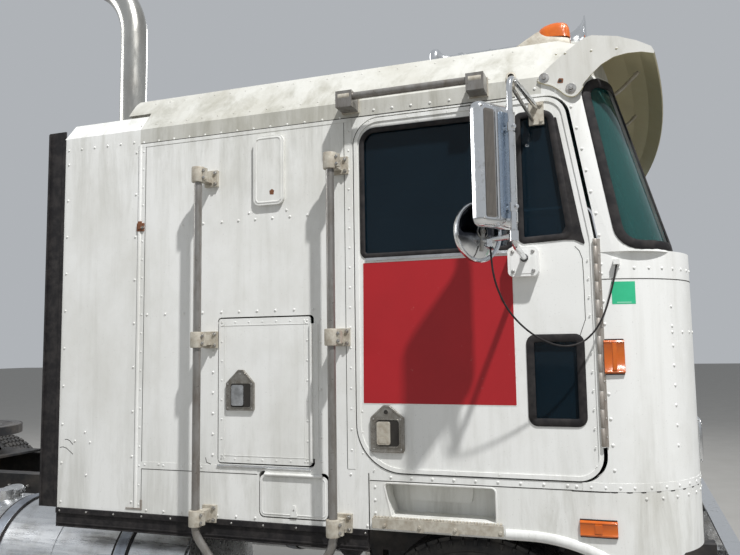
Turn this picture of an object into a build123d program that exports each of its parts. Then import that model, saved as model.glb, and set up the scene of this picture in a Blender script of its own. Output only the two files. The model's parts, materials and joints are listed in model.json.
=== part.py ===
from build123d import *
import os
from math import atan2, cos, degrees, hypot, pi, radians, sin, tan

# Cab-over sleeper tractor unit, in millimetres.
# +X points forward, +Y to the left, +Z up. The origin lies on the ground, under the middle of the length.

# Running gaps
SEAT_GAP = 0.3
PANEL_GAP = 6.0
PIN_GAP = 0.05
REST_GAP = 0.5

# Frame
RAIL_OUT_Y = 432.0
RAIL_FLANGE = 90.0
RAIL_WALL = 9.0
RAIL_BOTTOM_Z = 700.0
RAIL_TOP_Z = 970.0
RAIL_REAR_X = -3250.0
REAR_END_X = RAIL_REAR_X - 35
HORN_BOTTOM_Z = 620.0
HORN_TOP_Z = 830.0
CROSSMEMBER = 80.0

FLAP_HANGER_X = RAIL_REAR_X + 196
FLAP_HANGER_Z = 945.0

# The cab's front sets where the doors, the steered axle and the front of the frame lie
CAB_FRONT_X = 3112.0
CAB_HALF = 1180.0
DOOR_FRONT_X = CAB_FRONT_X - 342
DOOR_REAR_X = DOOR_FRONT_X - 940
HORN_END_X = CAB_FRONT_X + 83
MUD_FLAP_Y = (600.0, CAB_HALF + 20)

# Axles and wheels
FRONT_AXLE_X = CAB_FRONT_X - 822
TANDEM_X = -1755.0
TANDEM_SPACING = 1320.0
AXLE_Z = 490.0
TYRE_RADIUS = 490.0
TYRE_WIDTH = 280.0
RIM_RADIUS = 285.0
FRONT_TRACK_HALF = 1015.0
KINGPIN_Y = FRONT_TRACK_HALF - 190
KINGPIN_R = 20.0
SPINDLE_R = 36.0
DUAL_MID_Y = 907.0
DUAL_SPACING = 343.0
REAR_SPINDLE_R = 55.0

# Cab shell
CAB_WALL = 40.0
CAB_BACK_X = 770.0
CAB_BOTTOM_Z = 984.0
LOWER_SEAM_Z = 1174.0
BELT_Z = 1936.0
LEDGE_Z = 2040.0
ROOF_SEAM_Z = 2660.0
ROOF_BEND_Z = 2727.0
ROOF_EDGE_Z = 2921.0
ROOF_EDGE_Y = CAB_HALF - 150
ROOF_CROWN_Z = 2972.0
ROOF_REAR_X = CAB_BACK_X - 130
PILLAR_TOP_X = DOOR_FRONT_X - 170
LOWER_CORNER_R = 350.0
UPPER_CORNER_R = 210.0
GLASS_SETBACK = 67.0
GLASS_RAKE = 16.0
FLOOR_Z = 1100.0
FLOOR_T = 40.0
TUNNEL_HALF = 430.0
TUNNEL_TOP_Z = 1700.0
TUNNEL_FRONT_X = CAB_FRONT_X - 122
TUNNEL_WALL = 20.0

# Cab tilt pivot
PIVOT_X = CAB_FRONT_X - 52
PIVOT_Z = 905.0
PIVOT_Y = 387.0
PIVOT_PIN_R = 20.0

# Doors and lids
DOOR_BOTTOM_Z = 1208.0
DOOR_TOP_Z = 2644.0
DOOR_LEAN_Z = 2086.0
DOOR_TOP_FRONT_X = DOOR_FRONT_X - 94
DOOR_T = 42.0
SKIN_T = 4.0
HINGE_R = 6.0
HINGE_LEAD = 2.0
HINGE_ROOM = 12.0
PAN_INSET = 20.0
PAN_HINGE_INSET = 62.0
HINGE_BOTTOM_Z = 1330.0

# Luggage door and flap in the sleeper side
LUGGAGE_X = (DOOR_REAR_X - 637, DOOR_REAR_X - 201)
LUGGAGE_Z = (1220.0, 1832.0)
FLAP_X = (DOOR_REAR_X - 437, DOOR_REAR_X - 132)
FLAP_Z = (1008.0, 1178.0)

# Side extender and rubber skirts
EXTENDER_REAR_X = CAB_BACK_X - 436
EXTENDER_T = 25.0
RUBBER_REAR_X = EXTENDER_REAR_X - 98
RUBBER_T = 8.0
SKIRT_BOTTOM_Z = 898.0

# Front lower panel and wheel arch
PANEL_REAR_X = DOOR_REAR_X + 48
ARCH_FLAT_Z = 1012.0
ARCH_LIP_Z = 984.0
ARCH_TURN_X = FRONT_AXLE_X + 205
ARCH_R = 597.0
FENDER_SKIN = 8.0

# Bumper
BUMPER_FACE_X = CAB_FRONT_X + 173
BUMPER_Z = (440.0, 850.0)
BUMPER_HALF = CAB_HALF + 35
BUMPER_BACK_X = CAB_FRONT_X - 112
BUMPER_T = 10.0
BUMPER_R = 120.0

# Engine and drive line
ENGINE_X = (CAB_FRONT_X - 1762, CAB_FRONT_X - 412)
ENGINE_HALF = 320.0
ENGINE_Z = (520.0, 1600.0)
GEARBOX_X = (ENGINE_X[0] - 650, ENGINE_X[0])
SHAFT_R = 50.0

# Fuel tanks
TANK_X = (-455.0, 1005.0)
TANK_Y = 850.0
TANK_Z = 630.0
TANK_R = 320.0
STRAP_X = (-85.0, 655.0)
STRAP_W = 60.0
STRAP_T = 6.0
FILLER_X = -255.0

# Exhaust
STACK_X = CAB_BACK_X - 215
STACK_Y = CAB_HALF - 220
STACK_R = 65.0
MUFFLER_R = 110.0
MUFFLER_Z = (1300.0, 2480.0)
STACK_BEND_Z = 3477.0
STACK_BEND_R = 330.0
PIPE_R = 50.0
PIPE_Z = 1038.0
PIPE_Y = 250.0

# Fifth wheel
FIFTH_X = -1700.0
FIFTH_PIVOT_Z = 1090.0
FIFTH_PLATE_Z = (1150.0, 1185.0)
FIFTH_R = 470.0
KINGPIN_SEAT_R = 25.4

# Tilt cylinder, on the right of the frame
CYL_Y = -500.0
CYL_FOOT = (PIVOT_X - 640, 640.0)
CYL_EYE = (PIVOT_X - 360, 1040.0)
CYL_R = 38.0
CYL_ROD_R = 20.0
CYL_PIN_R = 15.0
CYL_EYE_W = 50.0

# Steering wheel, on the left
WHEEL_CENTRE = (CAB_FRONT_X - 552, 540.0, 1880.0)
WHEEL_R = 225.0
WHEEL_LEAN = 30.0

# Mirrors, measured out from the door's skin
MIRROR_OUT = 300.0
MIRROR_X = DOOR_FRONT_X - 305
MIRROR_Z = (2102.0, 2540.0)
MIRROR_W = 190.0
MIRROR_T = 44.0
MIRROR_TURN = 37.0
ROUND_MIRROR_R = 108.0
ROUND_MIRROR_T = 22.0
MIRROR_TUBE_R = 11.0
TUBE_X = DOOR_FRONT_X - 251

SIDE_BARS = (DOOR_REAR_X - 684, DOOR_REAR_X - 68)
BAR_OUT = 100.0
BAR_R = 17.0

ROUND_MIRROR = (DOOR_FRONT_X - 378, -CAB_HALF - 240, 2101.0)

# Heater cable of the right-hand mirror, from the mirror to a grommet in the cab's corner,
# with its route given from the door's front edge, the cab's side and the ground
CABLE_R = 3.5
CABLE_ROUTE = [
    (-340, -258, 2044),
    (-337, -262, 1990),
    (-330, -262, 1935),
    (-318, -246, 1885),
    (-294, -220, 1825),
    (-250, -182, 1765),
    (-190, -142, 1716),
    (-122, -104, 1690),
    (-58, -72, 1700),
    (-8, -50, 1745),
    (27, -36, 1810),
    (49, -26, 1880),
    (65, -16, 1940),
    (73, -6, 1985),
]
CABLE_POINTS = [(DOOR_FRONT_X + x, y - CAB_HALF, z) for x, y, z in CABLE_ROUTE]
GROMMET_X = DOOR_FRONT_X + 74
GROMMET = ((GROMMET_X - 11, GROMMET_X + 11), (-CAB_HALF - 16, -CAB_HALF + 30), (1986.6, 2006.0))

NODES = {}


def node(name, *solids):
    """Keep the solids of one sub-part under its name."""
    NODES[name] = list(solids)


def block(x, y, z):
    """Box between two x, two y and two z values."""
    size = (x[1] - x[0], y[1] - y[0], z[1] - z[0])
    return Pos((x[0] + x[1]) / 2, (y[0] + y[1]) / 2, (z[0] + z[1]) / 2) * Box(*size)


def rod_x(x, y, z, r):
    return Pos((x[0] + x[1]) / 2, y, z) * Rot(0, 90, 0) * Cylinder(r, x[1] - x[0])


def rod_y(x, y, z, r):
    return Pos(x, (y[0] + y[1]) / 2, z) * Rot(90, 0, 0) * Cylinder(r, y[1] - y[0])


def rod_z(x, y, z, r):
    return Pos(x, y, (z[0] + z[1]) / 2) * Cylinder(r, z[1] - z[0])


def shape(points, radii=0.0):
    """Closed flat outline with one corner radius, or a list of them."""
    return make_face(FilletPolyline(*points, radius=radii, close=True))


def side_sheet(face, y):
    """Extrude an outline drawn in x and z between two y values."""
    return extrude(Plane((0, y[1], 0), x_dir=(1, 0, 0), z_dir=(0, -1, 0)) * face, y[1] - y[0])


def cross_sheet(face, x):
    """Extrude an outline drawn in y and z between two x values."""
    return extrude(Plane((x[0], 0, 0), x_dir=(0, 1, 0), z_dir=(1, 0, 0)) * face, x[1] - x[0])


def plan_sheet(face, z):
    """Extrude an outline drawn in x and y between two z values."""
    return extrude(Pos(0, 0, z[0]) * face, z[1] - z[0])


def left(part):
    return mirror(part, about=Plane.XZ)


def both(part):
    return [part, left(part)]


def turned(profile, x, y, z, outward):
    """Revolve a (radius, distance) profile about an axle line; outward is -1 right, 1 left."""
    points = [(r, t) for r, t in profile]
    face = make_face(Polyline(*points, close=True))
    solid = revolve(face, Axis.Y)
    if outward < 0:
        solid = mirror(solid, about=Plane.XZ)
    return Pos(x, y, z) * solid


FAR = 10000.0


def parted(parts, axis, value):
    """Cut solids in two at a plane across x, y or z; the halves lie face to face."""
    out = []
    for part in parts:
        for side in ((-FAR, value), (value, FAR)):
            room = [(-FAR, FAR)] * 3
            room["xyz".index(axis)] = side
            half = part & block(*room)
            out += half.solids() if half else []
    return out


def tube(points, radii, r):
    """Round bar along straight runs joined by arcs."""
    path = FilletPolyline(*points, radius=radii) if radii else Line(*points)
    start = Plane(origin=path @ 0, z_dir=path % 0)
    return sweep(start * Circle(r), path=path)


# Frame

def build_frame():
    outline = shape(
        [
            (RAIL_REAR_X, RAIL_BOTTOM_Z + 60),
            (RAIL_REAR_X + 120, RAIL_BOTTOM_Z),
            (FRONT_AXLE_X + 360, RAIL_BOTTOM_Z),
            (FRONT_AXLE_X + 540, HORN_BOTTOM_Z),
            (HORN_END_X, HORN_BOTTOM_Z),
            (HORN_END_X, HORN_TOP_Z),
            (PIVOT_X - 100, HORN_TOP_Z),
            (PIVOT_X - 200, RAIL_TOP_Z),
            (RAIL_REAR_X, RAIL_TOP_Z),
        ]
    )
    rim = outline - offset(outline, -RAIL_WALL)
    rail = side_sheet(outline, (-RAIL_OUT_Y, -RAIL_OUT_Y + RAIL_WALL))
    rail += side_sheet(rim, (-RAIL_OUT_Y, -RAIL_OUT_Y + RAIL_FLANGE))
    lug = shape(
        [
            (PIVOT_X - 60, HORN_TOP_Z),
            (PIVOT_X + 60, HORN_TOP_Z),
            (PIVOT_X + 38, PIVOT_Z + 40),
            (PIVOT_X - 38, PIVOT_Z + 40),
        ],
        [0, 0, 34, 34],
    )
    lug -= Pos(PIVOT_X, PIVOT_Z) * Circle(PIVOT_PIN_R + PIN_GAP)
    rail += side_sheet(lug, (-PIVOT_Y - 25, -PIVOT_Y + 25))
    rail += block((860, 960), (-RAIL_OUT_Y - 90, -RAIL_OUT_Y), (900, FLOOR_Z - REST_GAP))
    members = []
    web = RAIL_OUT_Y - RAIL_WALL
    inner = (RAIL_TOP_Z - 150, RAIL_TOP_Z - 20)
    horn = (HORN_BOTTOM_Z + 20, HORN_TOP_Z - 20)
    # columns: x of the middle, z range
    for x, z in (
        (-3150, inner),
        (TANDEM_X, inner),
        (-560, inner),
        (430, inner),
        (PIVOT_X - 140, horn),
    ):
        members.append(block((x - CROSSMEMBER / 2, x + CROSSMEMBER / 2), (-web, web), z))
    members.append(block((RAIL_REAR_X - 12, RAIL_REAR_X), (-620, 620), (760, 900)))
    pin_y = (CYL_Y - CYL_EYE_W / 2 - 15, -RAIL_OUT_Y)
    foot = block((CYL_FOOT[0] - 45, CYL_FOOT[0] + 45), (-RAIL_OUT_Y - 12, -RAIL_OUT_Y), (600, 720))
    foot += rod_y(CYL_FOOT[0], pin_y, CYL_FOOT[1], CYL_PIN_R)
    members.append(foot)
    members += both(rod_y(FLAP_HANGER_X, (-MUD_FLAP_Y[1] - 10, -RAIL_OUT_Y), FLAP_HANGER_Z, 15))
    node("frame_rails", rail, left(rail), *members)


def build_bumper():
    def plan(inset):
        half = BUMPER_HALF - inset
        face = BUMPER_FACE_X - inset
        corner = BUMPER_R - inset if inset < BUMPER_R else 1.0
        back = BUMPER_BACK_X
        return shape([(back, -half), (face, -half), (face, half), (back, half)], [0, corner, corner, 0])

    outer = plan(0)
    bumper = plan_sheet(outer - plan(BUMPER_T), BUMPER_Z)
    flange = outer - plan(70)
    for z in (BUMPER_Z[0], BUMPER_Z[1] - BUMPER_T):
        bumper += plan_sheet(flange, (z, z + BUMPER_T))
    stay = block((HORN_END_X, BUMPER_FACE_X - BUMPER_T), (-RAIL_OUT_Y, -RAIL_OUT_Y + RAIL_FLANGE), (640, 810))
    bumper += stay + left(stay)
    for y in (-700, 700):
        bumper -= rod_x((BUMPER_FACE_X - 60, BUMPER_FACE_X + 5), y, 600, 38)
    node("front_bumper", bumper)


# Axles, knuckles and wheels

BOSS_R = 40.0
BOSS_Z = (AXLE_Z - 60, AXLE_Z + 60)
EAR_T = 34.0
ARM_LENGTH = 180.0
ARM_Z = (BOSS_Z[0] - REST_GAP - EAR_T, BOSS_Z[0] - REST_GAP - EAR_T + 22)
TIE_ROD_Z = ARM_Z[0] - 20
TIE_ROD_R = 18.0
BEAM_DROP = 80.0
BEAM_HALF_X = 45.0
LEAF_W = 80.0
FRONT_LEAF_Z = AXLE_Z - BEAM_DROP + 50


def build_front_axle():
    top, low = AXLE_Z + 50, AXLE_Z - 50
    beam = shape(
        [
            (-KINGPIN_Y, low),
            (-650, low),
            (-560, low - BEAM_DROP),
            (560, low - BEAM_DROP),
            (650, low),
            (KINGPIN_Y, low),
            (KINGPIN_Y, top),
            (620, top),
            (530, top - BEAM_DROP),
            (-530, top - BEAM_DROP),
            (-620, top),
            (-KINGPIN_Y, top),
        ]
    )
    axle = cross_sheet(beam, (FRONT_AXLE_X - BEAM_HALF_X, FRONT_AXLE_X + BEAM_HALF_X))
    for x in (-BEAM_HALF_X, BEAM_HALF_X):
        groove = block(
            (FRONT_AXLE_X + x - 28, FRONT_AXLE_X + x + 28),
            (-470, 470),
            (low - BEAM_DROP + 22, top - BEAM_DROP - 22),
        )
        axle -= groove
    for y in (-KINGPIN_Y, KINGPIN_Y):
        axle -= rod_z(FRONT_AXLE_X, y, (BOSS_Z[0] - 60, BOSS_Z[1] + 60), BOSS_R + 8)
        axle += rod_z(FRONT_AXLE_X, y, BOSS_Z, BOSS_R)
        inner = y - (y / abs(y)) * (BOSS_R + 30)
        neck = (min(y, inner), max(y, inner))
        axle += block((FRONT_AXLE_X - 30, FRONT_AXLE_X + 30), neck, (AXLE_Z - 45, AXLE_Z + 45))
        axle -= rod_z(FRONT_AXLE_X, y, (BOSS_Z[0] - 60, BOSS_Z[1] + 60), KINGPIN_R + PIN_GAP)
    node("front_axle", axle)


def build_knuckles():
    x = FRONT_AXLE_X
    web_y = (-KINGPIN_Y - BOSS_R - 40, -KINGPIN_Y - BOSS_R - 8)
    z = (BOSS_Z[0] - REST_GAP - EAR_T, BOSS_Z[1] + REST_GAP + EAR_T)
    knuckle = block((x - 50, x + 50), web_y, z)
    for ear in ((z[0], z[0] + EAR_T), (z[1] - EAR_T, z[1])):
        knuckle += rod_z(x, -KINGPIN_Y, ear, BOSS_R)
        knuckle += block((x - 38, x + 38), (web_y[1] - 1, -KINGPIN_Y), ear)
    knuckle += rod_z(x, -KINGPIN_Y, z, KINGPIN_R)
    spindle_end = -FRONT_TRACK_HALF - 135
    knuckle += rod_y(x, (spindle_end, web_y[0] + 1), AXLE_Z, SPINDLE_R - PIN_GAP)
    arm = shape(
        [(x - ARM_LENGTH - 24, -KINGPIN_Y - 24), (x, -KINGPIN_Y - 30), (x, -KINGPIN_Y + 30), (x - ARM_LENGTH - 24, -KINGPIN_Y + 24)],
        [22, 0, 0, 22],
    )
    knuckle += plan_sheet(arm, ARM_Z)
    node("knuckle_right", knuckle)
    node("knuckle_left", left(knuckle))
    rod = rod_y(x - ARM_LENGTH, (-KINGPIN_Y, KINGPIN_Y), TIE_ROD_Z - 4, TIE_ROD_R)
    for y in (-KINGPIN_Y, KINGPIN_Y):
        rod += rod_z(x - ARM_LENGTH, y, (TIE_ROD_Z - 24, ARM_Z[0] - SEAT_GAP), 24)
    node("tie_rod", rod)


def tyre_profile(middle):
    half = TYRE_WIDTH / 2
    bead = RIM_RADIUS + SEAT_GAP
    return [
        (bead, middle - half + 30),
        (RIM_RADIUS + 18, middle - half + 29),
        (RIM_RADIUS + 95, middle - half),
        (TYRE_RADIUS - 30, middle - half + 10),
        (TYRE_RADIUS - 6, middle - half + 26),
        (TYRE_RADIUS, middle - half + 60),
        (TYRE_RADIUS, middle + half - 60),
        (TYRE_RADIUS - 6, middle + half - 26),
        (TYRE_RADIUS - 30, middle + half - 10),
        (RIM_RADIUS + 95, middle + half),
        (RIM_RADIUS + 18, middle + half - 29),
        (bead, middle + half - 30),
    ]


RIM_WALL = 12.0
RIM_HALF = 125.0
RIM_FLANGE = 13.0
DRUM_R = 190.0


def steer_rim():
    r0 = RIM_RADIUS - RIM_WALL
    r1 = RIM_RADIUS
    r2 = RIM_RADIUS + RIM_FLANGE
    bead = RIM_HALF - RIM_WALL
    profile = [
        (r0, -RIM_HALF),
        (r2, -RIM_HALF),
        (r2, -bead),
        (r1, -bead),
        (r1, bead),
        (r2, bead),
        (r2, RIM_HALF),
        (r0, RIM_HALF),
        (r0, 80),
        (160, 112),
        (105, 112),
        (105, 132),
        (72, 150),
        (0, 150),
        (0, 140),
        (SPINDLE_R, 140),
        (SPINDLE_R, -70),
        (80, -70),
        (80, 75),
        (DRUM_R - 15, 75),
        (DRUM_R - 15, -90),
        (DRUM_R, -90),
        (DRUM_R, 79),
        (r0, 60),
    ]
    rim = turned(profile, 0, 0, 0, 1)
    for place in PolarLocations(231, 8):
        hole = Plane.XZ * place * Circle(23)
        rim -= extrude(hole, 200, both=True) & block((-300, 300), (40, 200), (-300, 300))
    return rim


def dual_rim():
    r0 = RIM_RADIUS - RIM_WALL
    r1 = RIM_RADIUS
    r2 = RIM_RADIUS + RIM_FLANGE
    mid = DUAL_SPACING / 2
    near, far = mid - RIM_HALF, mid + RIM_HALF
    half = [
        (105, 0),
        (200, 0),
        (r0, near),
        (r2, near),
        (r2, near + RIM_WALL),
        (r1, near + RIM_WALL),
        (r1, far - RIM_WALL),
        (r2, far - RIM_WALL),
        (r2, far),
        (r0, far),
        (r0, near + 17),
        (195, 14),
        (105, 14),
    ]
    other = [(r, -t) for r, t in half]
    hub = [
        (REAR_SPINDLE_R, -150),
        (100, -150),
        (100, -35),
        (DRUM_R - 5, -35),
        (DRUM_R - 5, -210),
        (DRUM_R + 10, -210),
        (DRUM_R + 10, -16),
        (110, -10),
        (110, 90),
        (85, 120),
        (0, 120),
        (0, 60),
        (REAR_SPINDLE_R, 60),
    ]
    rim = turned(half, 0, 0, 0, 1) + turned(other, 0, 0, 0, 1) + turned(hub, 0, 0, 0, 1)
    for place in PolarLocations(238, 8):
        hole = Plane.XZ * place * Circle(20)
        rim -= extrude(hole, 200, both=True) & block((-300, 300), (-60, 60), (-300, 300))
    return rim


def build_wheels():
    steer = steer_rim()
    steer_tyre = turned(tyre_profile(0), 0, 0, 0, 1)
    dual = dual_rim()
    dual_tyres = [turned(tyre_profile(m), 0, 0, 0, 1) for m in (-DUAL_SPACING / 2, DUAL_SPACING / 2)]
    front_x = TANDEM_X + TANDEM_SPACING / 2
    rear_x = TANDEM_X - TANDEM_SPACING / 2
    # columns: name, x, y, rim, tyres
    table = (
        ("front", FRONT_AXLE_X, FRONT_TRACK_HALF, steer, [steer_tyre]),
        ("drive_front", front_x, DUAL_MID_Y, dual, dual_tyres),
        ("drive_rear", rear_x, DUAL_MID_Y, dual, dual_tyres),
    )
    for name, x, y, rim, tyres in table:
        place = Pos(x, y, AXLE_Z)
        node(name + "_rim_left", place * rim)
        node(name + "_tyre_left", *[place * t for t in tyres])
        node(name + "_rim_right", left(place * rim))
        node(name + "_tyre_right", *[left(place * t) for t in tyres])


def build_rear_axles():
    solids = []
    for side in (1, -1):
        x = TANDEM_X + side * TANDEM_SPACING / 2
        reach = DUAL_MID_Y - 160
        axle = rod_y(x, (-reach, reach), AXLE_Z, 75)
        axle += rod_y(x, (-DUAL_MID_Y - 55, DUAL_MID_Y + 55), AXLE_Z, REAR_SPINDLE_R - PIN_GAP)
        axle += Pos(x, 0, AXLE_Z) * Rot(90, 0, 0) * Cylinder(185, 180)
        axle += rod_x((x, x + 290), 0, AXLE_Z + 40, 95)
        for y in (-387, 387):
            axle += block((x - 70, x + 70), (y - 55, y + 55), (AXLE_Z, AXLE_Z + 85))
        solids.append(axle)
    node("rear_axles", *solids)


def leaf_pack(x, half, y, base_z, rise, count, eye_r):
    """Stack of leaves, curved up to an eye at each end and shorter below."""
    pack = None
    thick = 14.0
    for i in range(count):
        reach = half * (1 - 0.17 * i)
        lift = rise * (reach / half) ** 2
        z = base_z + (count - 1 - i) * thick
        top = ThreePointArc((x - reach, z + lift + thick), (x, z + thick), (x + reach, z + lift + thick))
        low = ThreePointArc((x + reach, z + lift), (x, z), (x - reach, z + lift))
        ends = [Line(top @ 1, low @ 0), Line(low @ 1, top @ 0)]
        leaf = side_sheet(make_face([top, ends[0], low, ends[1]]), (y - LEAF_W / 2, y + LEAF_W / 2))
        pack = leaf if pack is None else pack + leaf
    top_z = base_z + (count - 1) * thick + rise + thick / 2
    for end in (-half, half):
        pack += rod_y(x + end, (y - LEAF_W / 2, y + LEAF_W / 2), top_z, eye_r)
    return pack


def build_suspension():
    y = -RAIL_OUT_Y + RAIL_FLANGE / 2
    solids = []
    front = leaf_pack(FRONT_AXLE_X, 640, y, FRONT_LEAF_Z, 90, 3, 26)
    eye_z = FRONT_LEAF_Z + 2 * 14 + 90 + 7
    for x, low in ((FRONT_AXLE_X - 640, RAIL_BOTTOM_Z), (FRONT_AXLE_X + 640, HORN_BOTTOM_Z)):
        front += block((x - 30, x + 30), (y - 45, y + 45), (eye_z - 30, low))
    solids.append(front)
    for side in (1, -1):
        x = TANDEM_X + side * TANDEM_SPACING / 2
        base = AXLE_Z + 85
        pack = leaf_pack(x, 520, y, base, 40, 3, 20)
        eye_z = base + 2 * 14 + 40 + 7
        for end in (-520, 520):
            pack += block((x + end - 28, x + end + 28), (y - 45, y + 45), (eye_z - 25, RAIL_BOTTOM_Z))
        solids.append(pack)
    merged = []
    for solid in solids:
        merged += both(solid)
    node("suspension", *merged)


# Fifth wheel

def build_fifth_wheel():
    base = block((FIFTH_X - 430, FIFTH_X + 430), (-RAIL_OUT_Y, RAIL_OUT_Y), (RAIL_TOP_Z, RAIL_TOP_Z + 14))
    cheek = shape(
        [
            (FIFTH_X - 160, RAIL_TOP_Z + 14),
            (FIFTH_X + 160, RAIL_TOP_Z + 14),
            (FIFTH_X + 50, FIFTH_PIVOT_Z + 42),
            (FIFTH_X - 50, FIFTH_PIVOT_Z + 42),
        ],
        [0, 0, 36, 36],
    )
    for y in (-330, 330):
        base += side_sheet(cheek, (y - 15, y + 15))
        base += rod_y(FIFTH_X, (y - 55, y + 55), FIFTH_PIVOT_Z, 22 - PIN_GAP)
    node("fifth_wheel_base", base)
    disc = Pos(FIFTH_X, 0) * Circle(FIFTH_R)
    nose = shape([(FIFTH_X - 520, -330), (FIFTH_X, -FIFTH_R), (FIFTH_X, FIFTH_R), (FIFTH_X - 520, 330)], [40, 0, 0, 40])
    throat = shape(
        [
            (FIFTH_X - 600, -190),
            (FIFTH_X - 140, -KINGPIN_SEAT_R),
            (FIFTH_X, -KINGPIN_SEAT_R),
            (FIFTH_X, KINGPIN_SEAT_R),
            (FIFTH_X - 140, KINGPIN_SEAT_R),
            (FIFTH_X - 600, 190),
        ]
    )
    top = disc + nose - throat - Pos(FIFTH_X, 0) * Circle(KINGPIN_SEAT_R)
    plate = plan_sheet(top, FIFTH_PLATE_Z)
    rim = top - offset(top, -16)
    plate += plan_sheet(rim, (FIFTH_PLATE_Z[0] - 25, FIFTH_PLATE_Z[0]))
    ear = shape(
        [
            (FIFTH_X - 60, FIFTH_PLATE_Z[0]),
            (FIFTH_X - 36, FIFTH_PIVOT_Z - 34),
            (FIFTH_X + 36, FIFTH_PIVOT_Z - 34),
            (FIFTH_X + 60, FIFTH_PLATE_Z[0]),
        ],
        [0, 20, 20, 0],
    )
    ear -= Pos(FIFTH_X, FIFTH_PIVOT_Z) * Circle(22)
    for y in (-330, 330):
        for out in (-38, 38):
            plate += side_sheet(ear, (y + out - 12, y + out + 12))
    node("fifth_wheel_plate", plate)


# Engine, drive line, radiator, tanks, exhaust

def build_engine():
    node("engine_block", block(ENGINE_X, (-ENGINE_HALF, ENGINE_HALF), ENGINE_Z))
    box = loft(
        [
            Plane((GEARBOX_X[1], 0, 800), z_dir=(-1, 0, 0)) * Circle(180),
            Plane((GEARBOX_X[0], 0, 780), z_dir=(-1, 0, 0)) * Circle(110),
        ]
    )
    front_axle_x = TANDEM_X + TANDEM_SPACING / 2 + 290
    rear_axle_x = TANDEM_X - TANDEM_SPACING / 2 + 290
    span = (GEARBOX_X[0] - 20, 0, 780)
    end = (front_axle_x + 14, 0, AXLE_Z + 40)
    shaft = tube([(GEARBOX_X[0] + 20, 0, 780), end], [], SHAFT_R)
    shaft += rod_x((front_axle_x, front_axle_x + 28), 0, AXLE_Z + 40, SHAFT_R + 25)
    second = rod_x((rear_axle_x, front_axle_x - 480), 0, AXLE_Z + 40, SHAFT_R)
    node("driveline", box + shaft, second)
    x = CAB_FRONT_X - 232
    core = block((x - 30, x + 30), (-330, 330), (HORN_TOP_Z - 20, 1640)) + block((x - 30, x + 30), (-400, 400), (990, 1640))
    core += block((x - 45, x + 45), (-405, 405), (1560, 1640)) + block((x - 45, x + 45), (-330, 330), (HORN_TOP_Z - 20, 900))
    node("radiator", core)


def build_tanks():
    y = -TANK_Y
    body = rod_x((TANK_X[0] + 18, TANK_X[1] - 18), y, TANK_Z, TANK_R)
    for x in (TANK_X[0], TANK_X[1] - 18):
        body += rod_x((x, x + 18), y, TANK_Z, TANK_R - 18)
    for x in STRAP_X:
        ends = (x - STRAP_W / 2, x + STRAP_W / 2)
        body += rod_x(ends, y, TANK_Z, TANK_R + STRAP_T)
        foot = shape(
            [(-RAIL_OUT_Y, 720), (-RAIL_OUT_Y, 930), (y + 220, 930), (y + 220, 400), (y + 60, 300), (y, 300), (y, 340), (y + 200, 470), (y + 240, 720)],
            0,
        )
        body += cross_sheet(foot, ends) - rod_x(ends, y, TANK_Z, TANK_R - 1)
    body += rod_z(FILLER_X, y - 60, (900, 985), 52)
    node("fuel_tanks", *both(body))


def build_exhaust():
    y = -STACK_Y
    muffler = rod_z(STACK_X, y, MUFFLER_Z, MUFFLER_R)
    bend = STACK_BEND_R
    lean = radians(48)
    top_point = (STACK_X - 420 * sin(lean), y, STACK_BEND_Z + 420 * cos(lean) - 60)
    pipe = tube(
        [(STACK_X, y, MUFFLER_Z[1] - 5), (STACK_X, y, STACK_BEND_Z), top_point],
        [bend],
        STACK_R,
    )
    feed = tube(
        [
            (STACK_X, y, MUFFLER_Z[0] + 5),
            (STACK_X, y, PIPE_Z),
            (STACK_X, -PIPE_Y, PIPE_Z),
            (ENGINE_X[0], -PIPE_Y, PIPE_Z),
        ],
        [120, 120],
        PIPE_R,
    )
    mast = block((STACK_X - 40, STACK_X + 40), (y + 150, y + 200), (RAIL_TOP_Z, 2500))
    mast += block((STACK_X - 60, STACK_X + 60), (y - 60, -RAIL_OUT_Y + RAIL_FLANGE), (RAIL_TOP_Z, RAIL_TOP_Z + 25))
    arms = None
    for z in (1500, 2300):
        arm = block((STACK_X - 30, STACK_X + 30), (y + 60, y + 160), (z, z + 50))
        arms = arm if arms is None else arms + arm
    node("exhaust_stack", muffler + pipe + feed + mast + arms)


def build_rear_fittings():
    plate = block((60, STACK_X - 75), (-RAIL_OUT_Y, RAIL_OUT_Y), (RAIL_TOP_Z, RAIL_TOP_Z + 10))
    node("deck_plate", plate)
    flaps = []
    top = FLAP_HANGER_Z - 15
    flap_y = (-MUD_FLAP_Y[1], -MUD_FLAP_Y[0])
    for part in both(block((FLAP_HANGER_X - 6, FLAP_HANGER_X + 6), flap_y, (330, top))):
        flaps.append(part)
    node("mud_flaps", *flaps)
    lamps = []
    for y in (-540, -440, 440, 540):
        lamps.append(rod_x((REAR_END_X, RAIL_REAR_X - 12), y, 830, 42))
    node("tail_lamps", *lamps)


# Cab shell

def plan_outline(back, front, half, corner):
    return shape([(back, -half), (front, -half), (front, half), (back, half)], [0, corner, corner, 0])


def cab_door_outline(grow, hinge_grow):
    """Door outline in x and z, grown all round by one gap and at the hinge edge by another."""
    rear = DOOR_REAR_X - grow
    low = DOOR_BOTTOM_Z - grow
    top = DOOR_TOP_Z + grow
    front = DOOR_FRONT_X + hinge_grow
    lean = (DOOR_FRONT_X - DOOR_TOP_FRONT_X) / (DOOR_TOP_Z - DOOR_LEAN_Z)
    top_front = front - lean * (top - DOOR_LEAN_Z)
    return shape(
        [(rear, low), (front, low), (front, DOOR_LEAN_Z), (top_front, top), (rear, top)],
        [190 + grow, 90 + grow, 300, 85 + grow, 110 + grow],
    )


def glass_front_x(z):
    """X of the windscreen's outer face at a height."""
    return CAB_FRONT_X - GLASS_SETBACK - (z - LEDGE_Z) * tan(radians(GLASS_RAKE))


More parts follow.
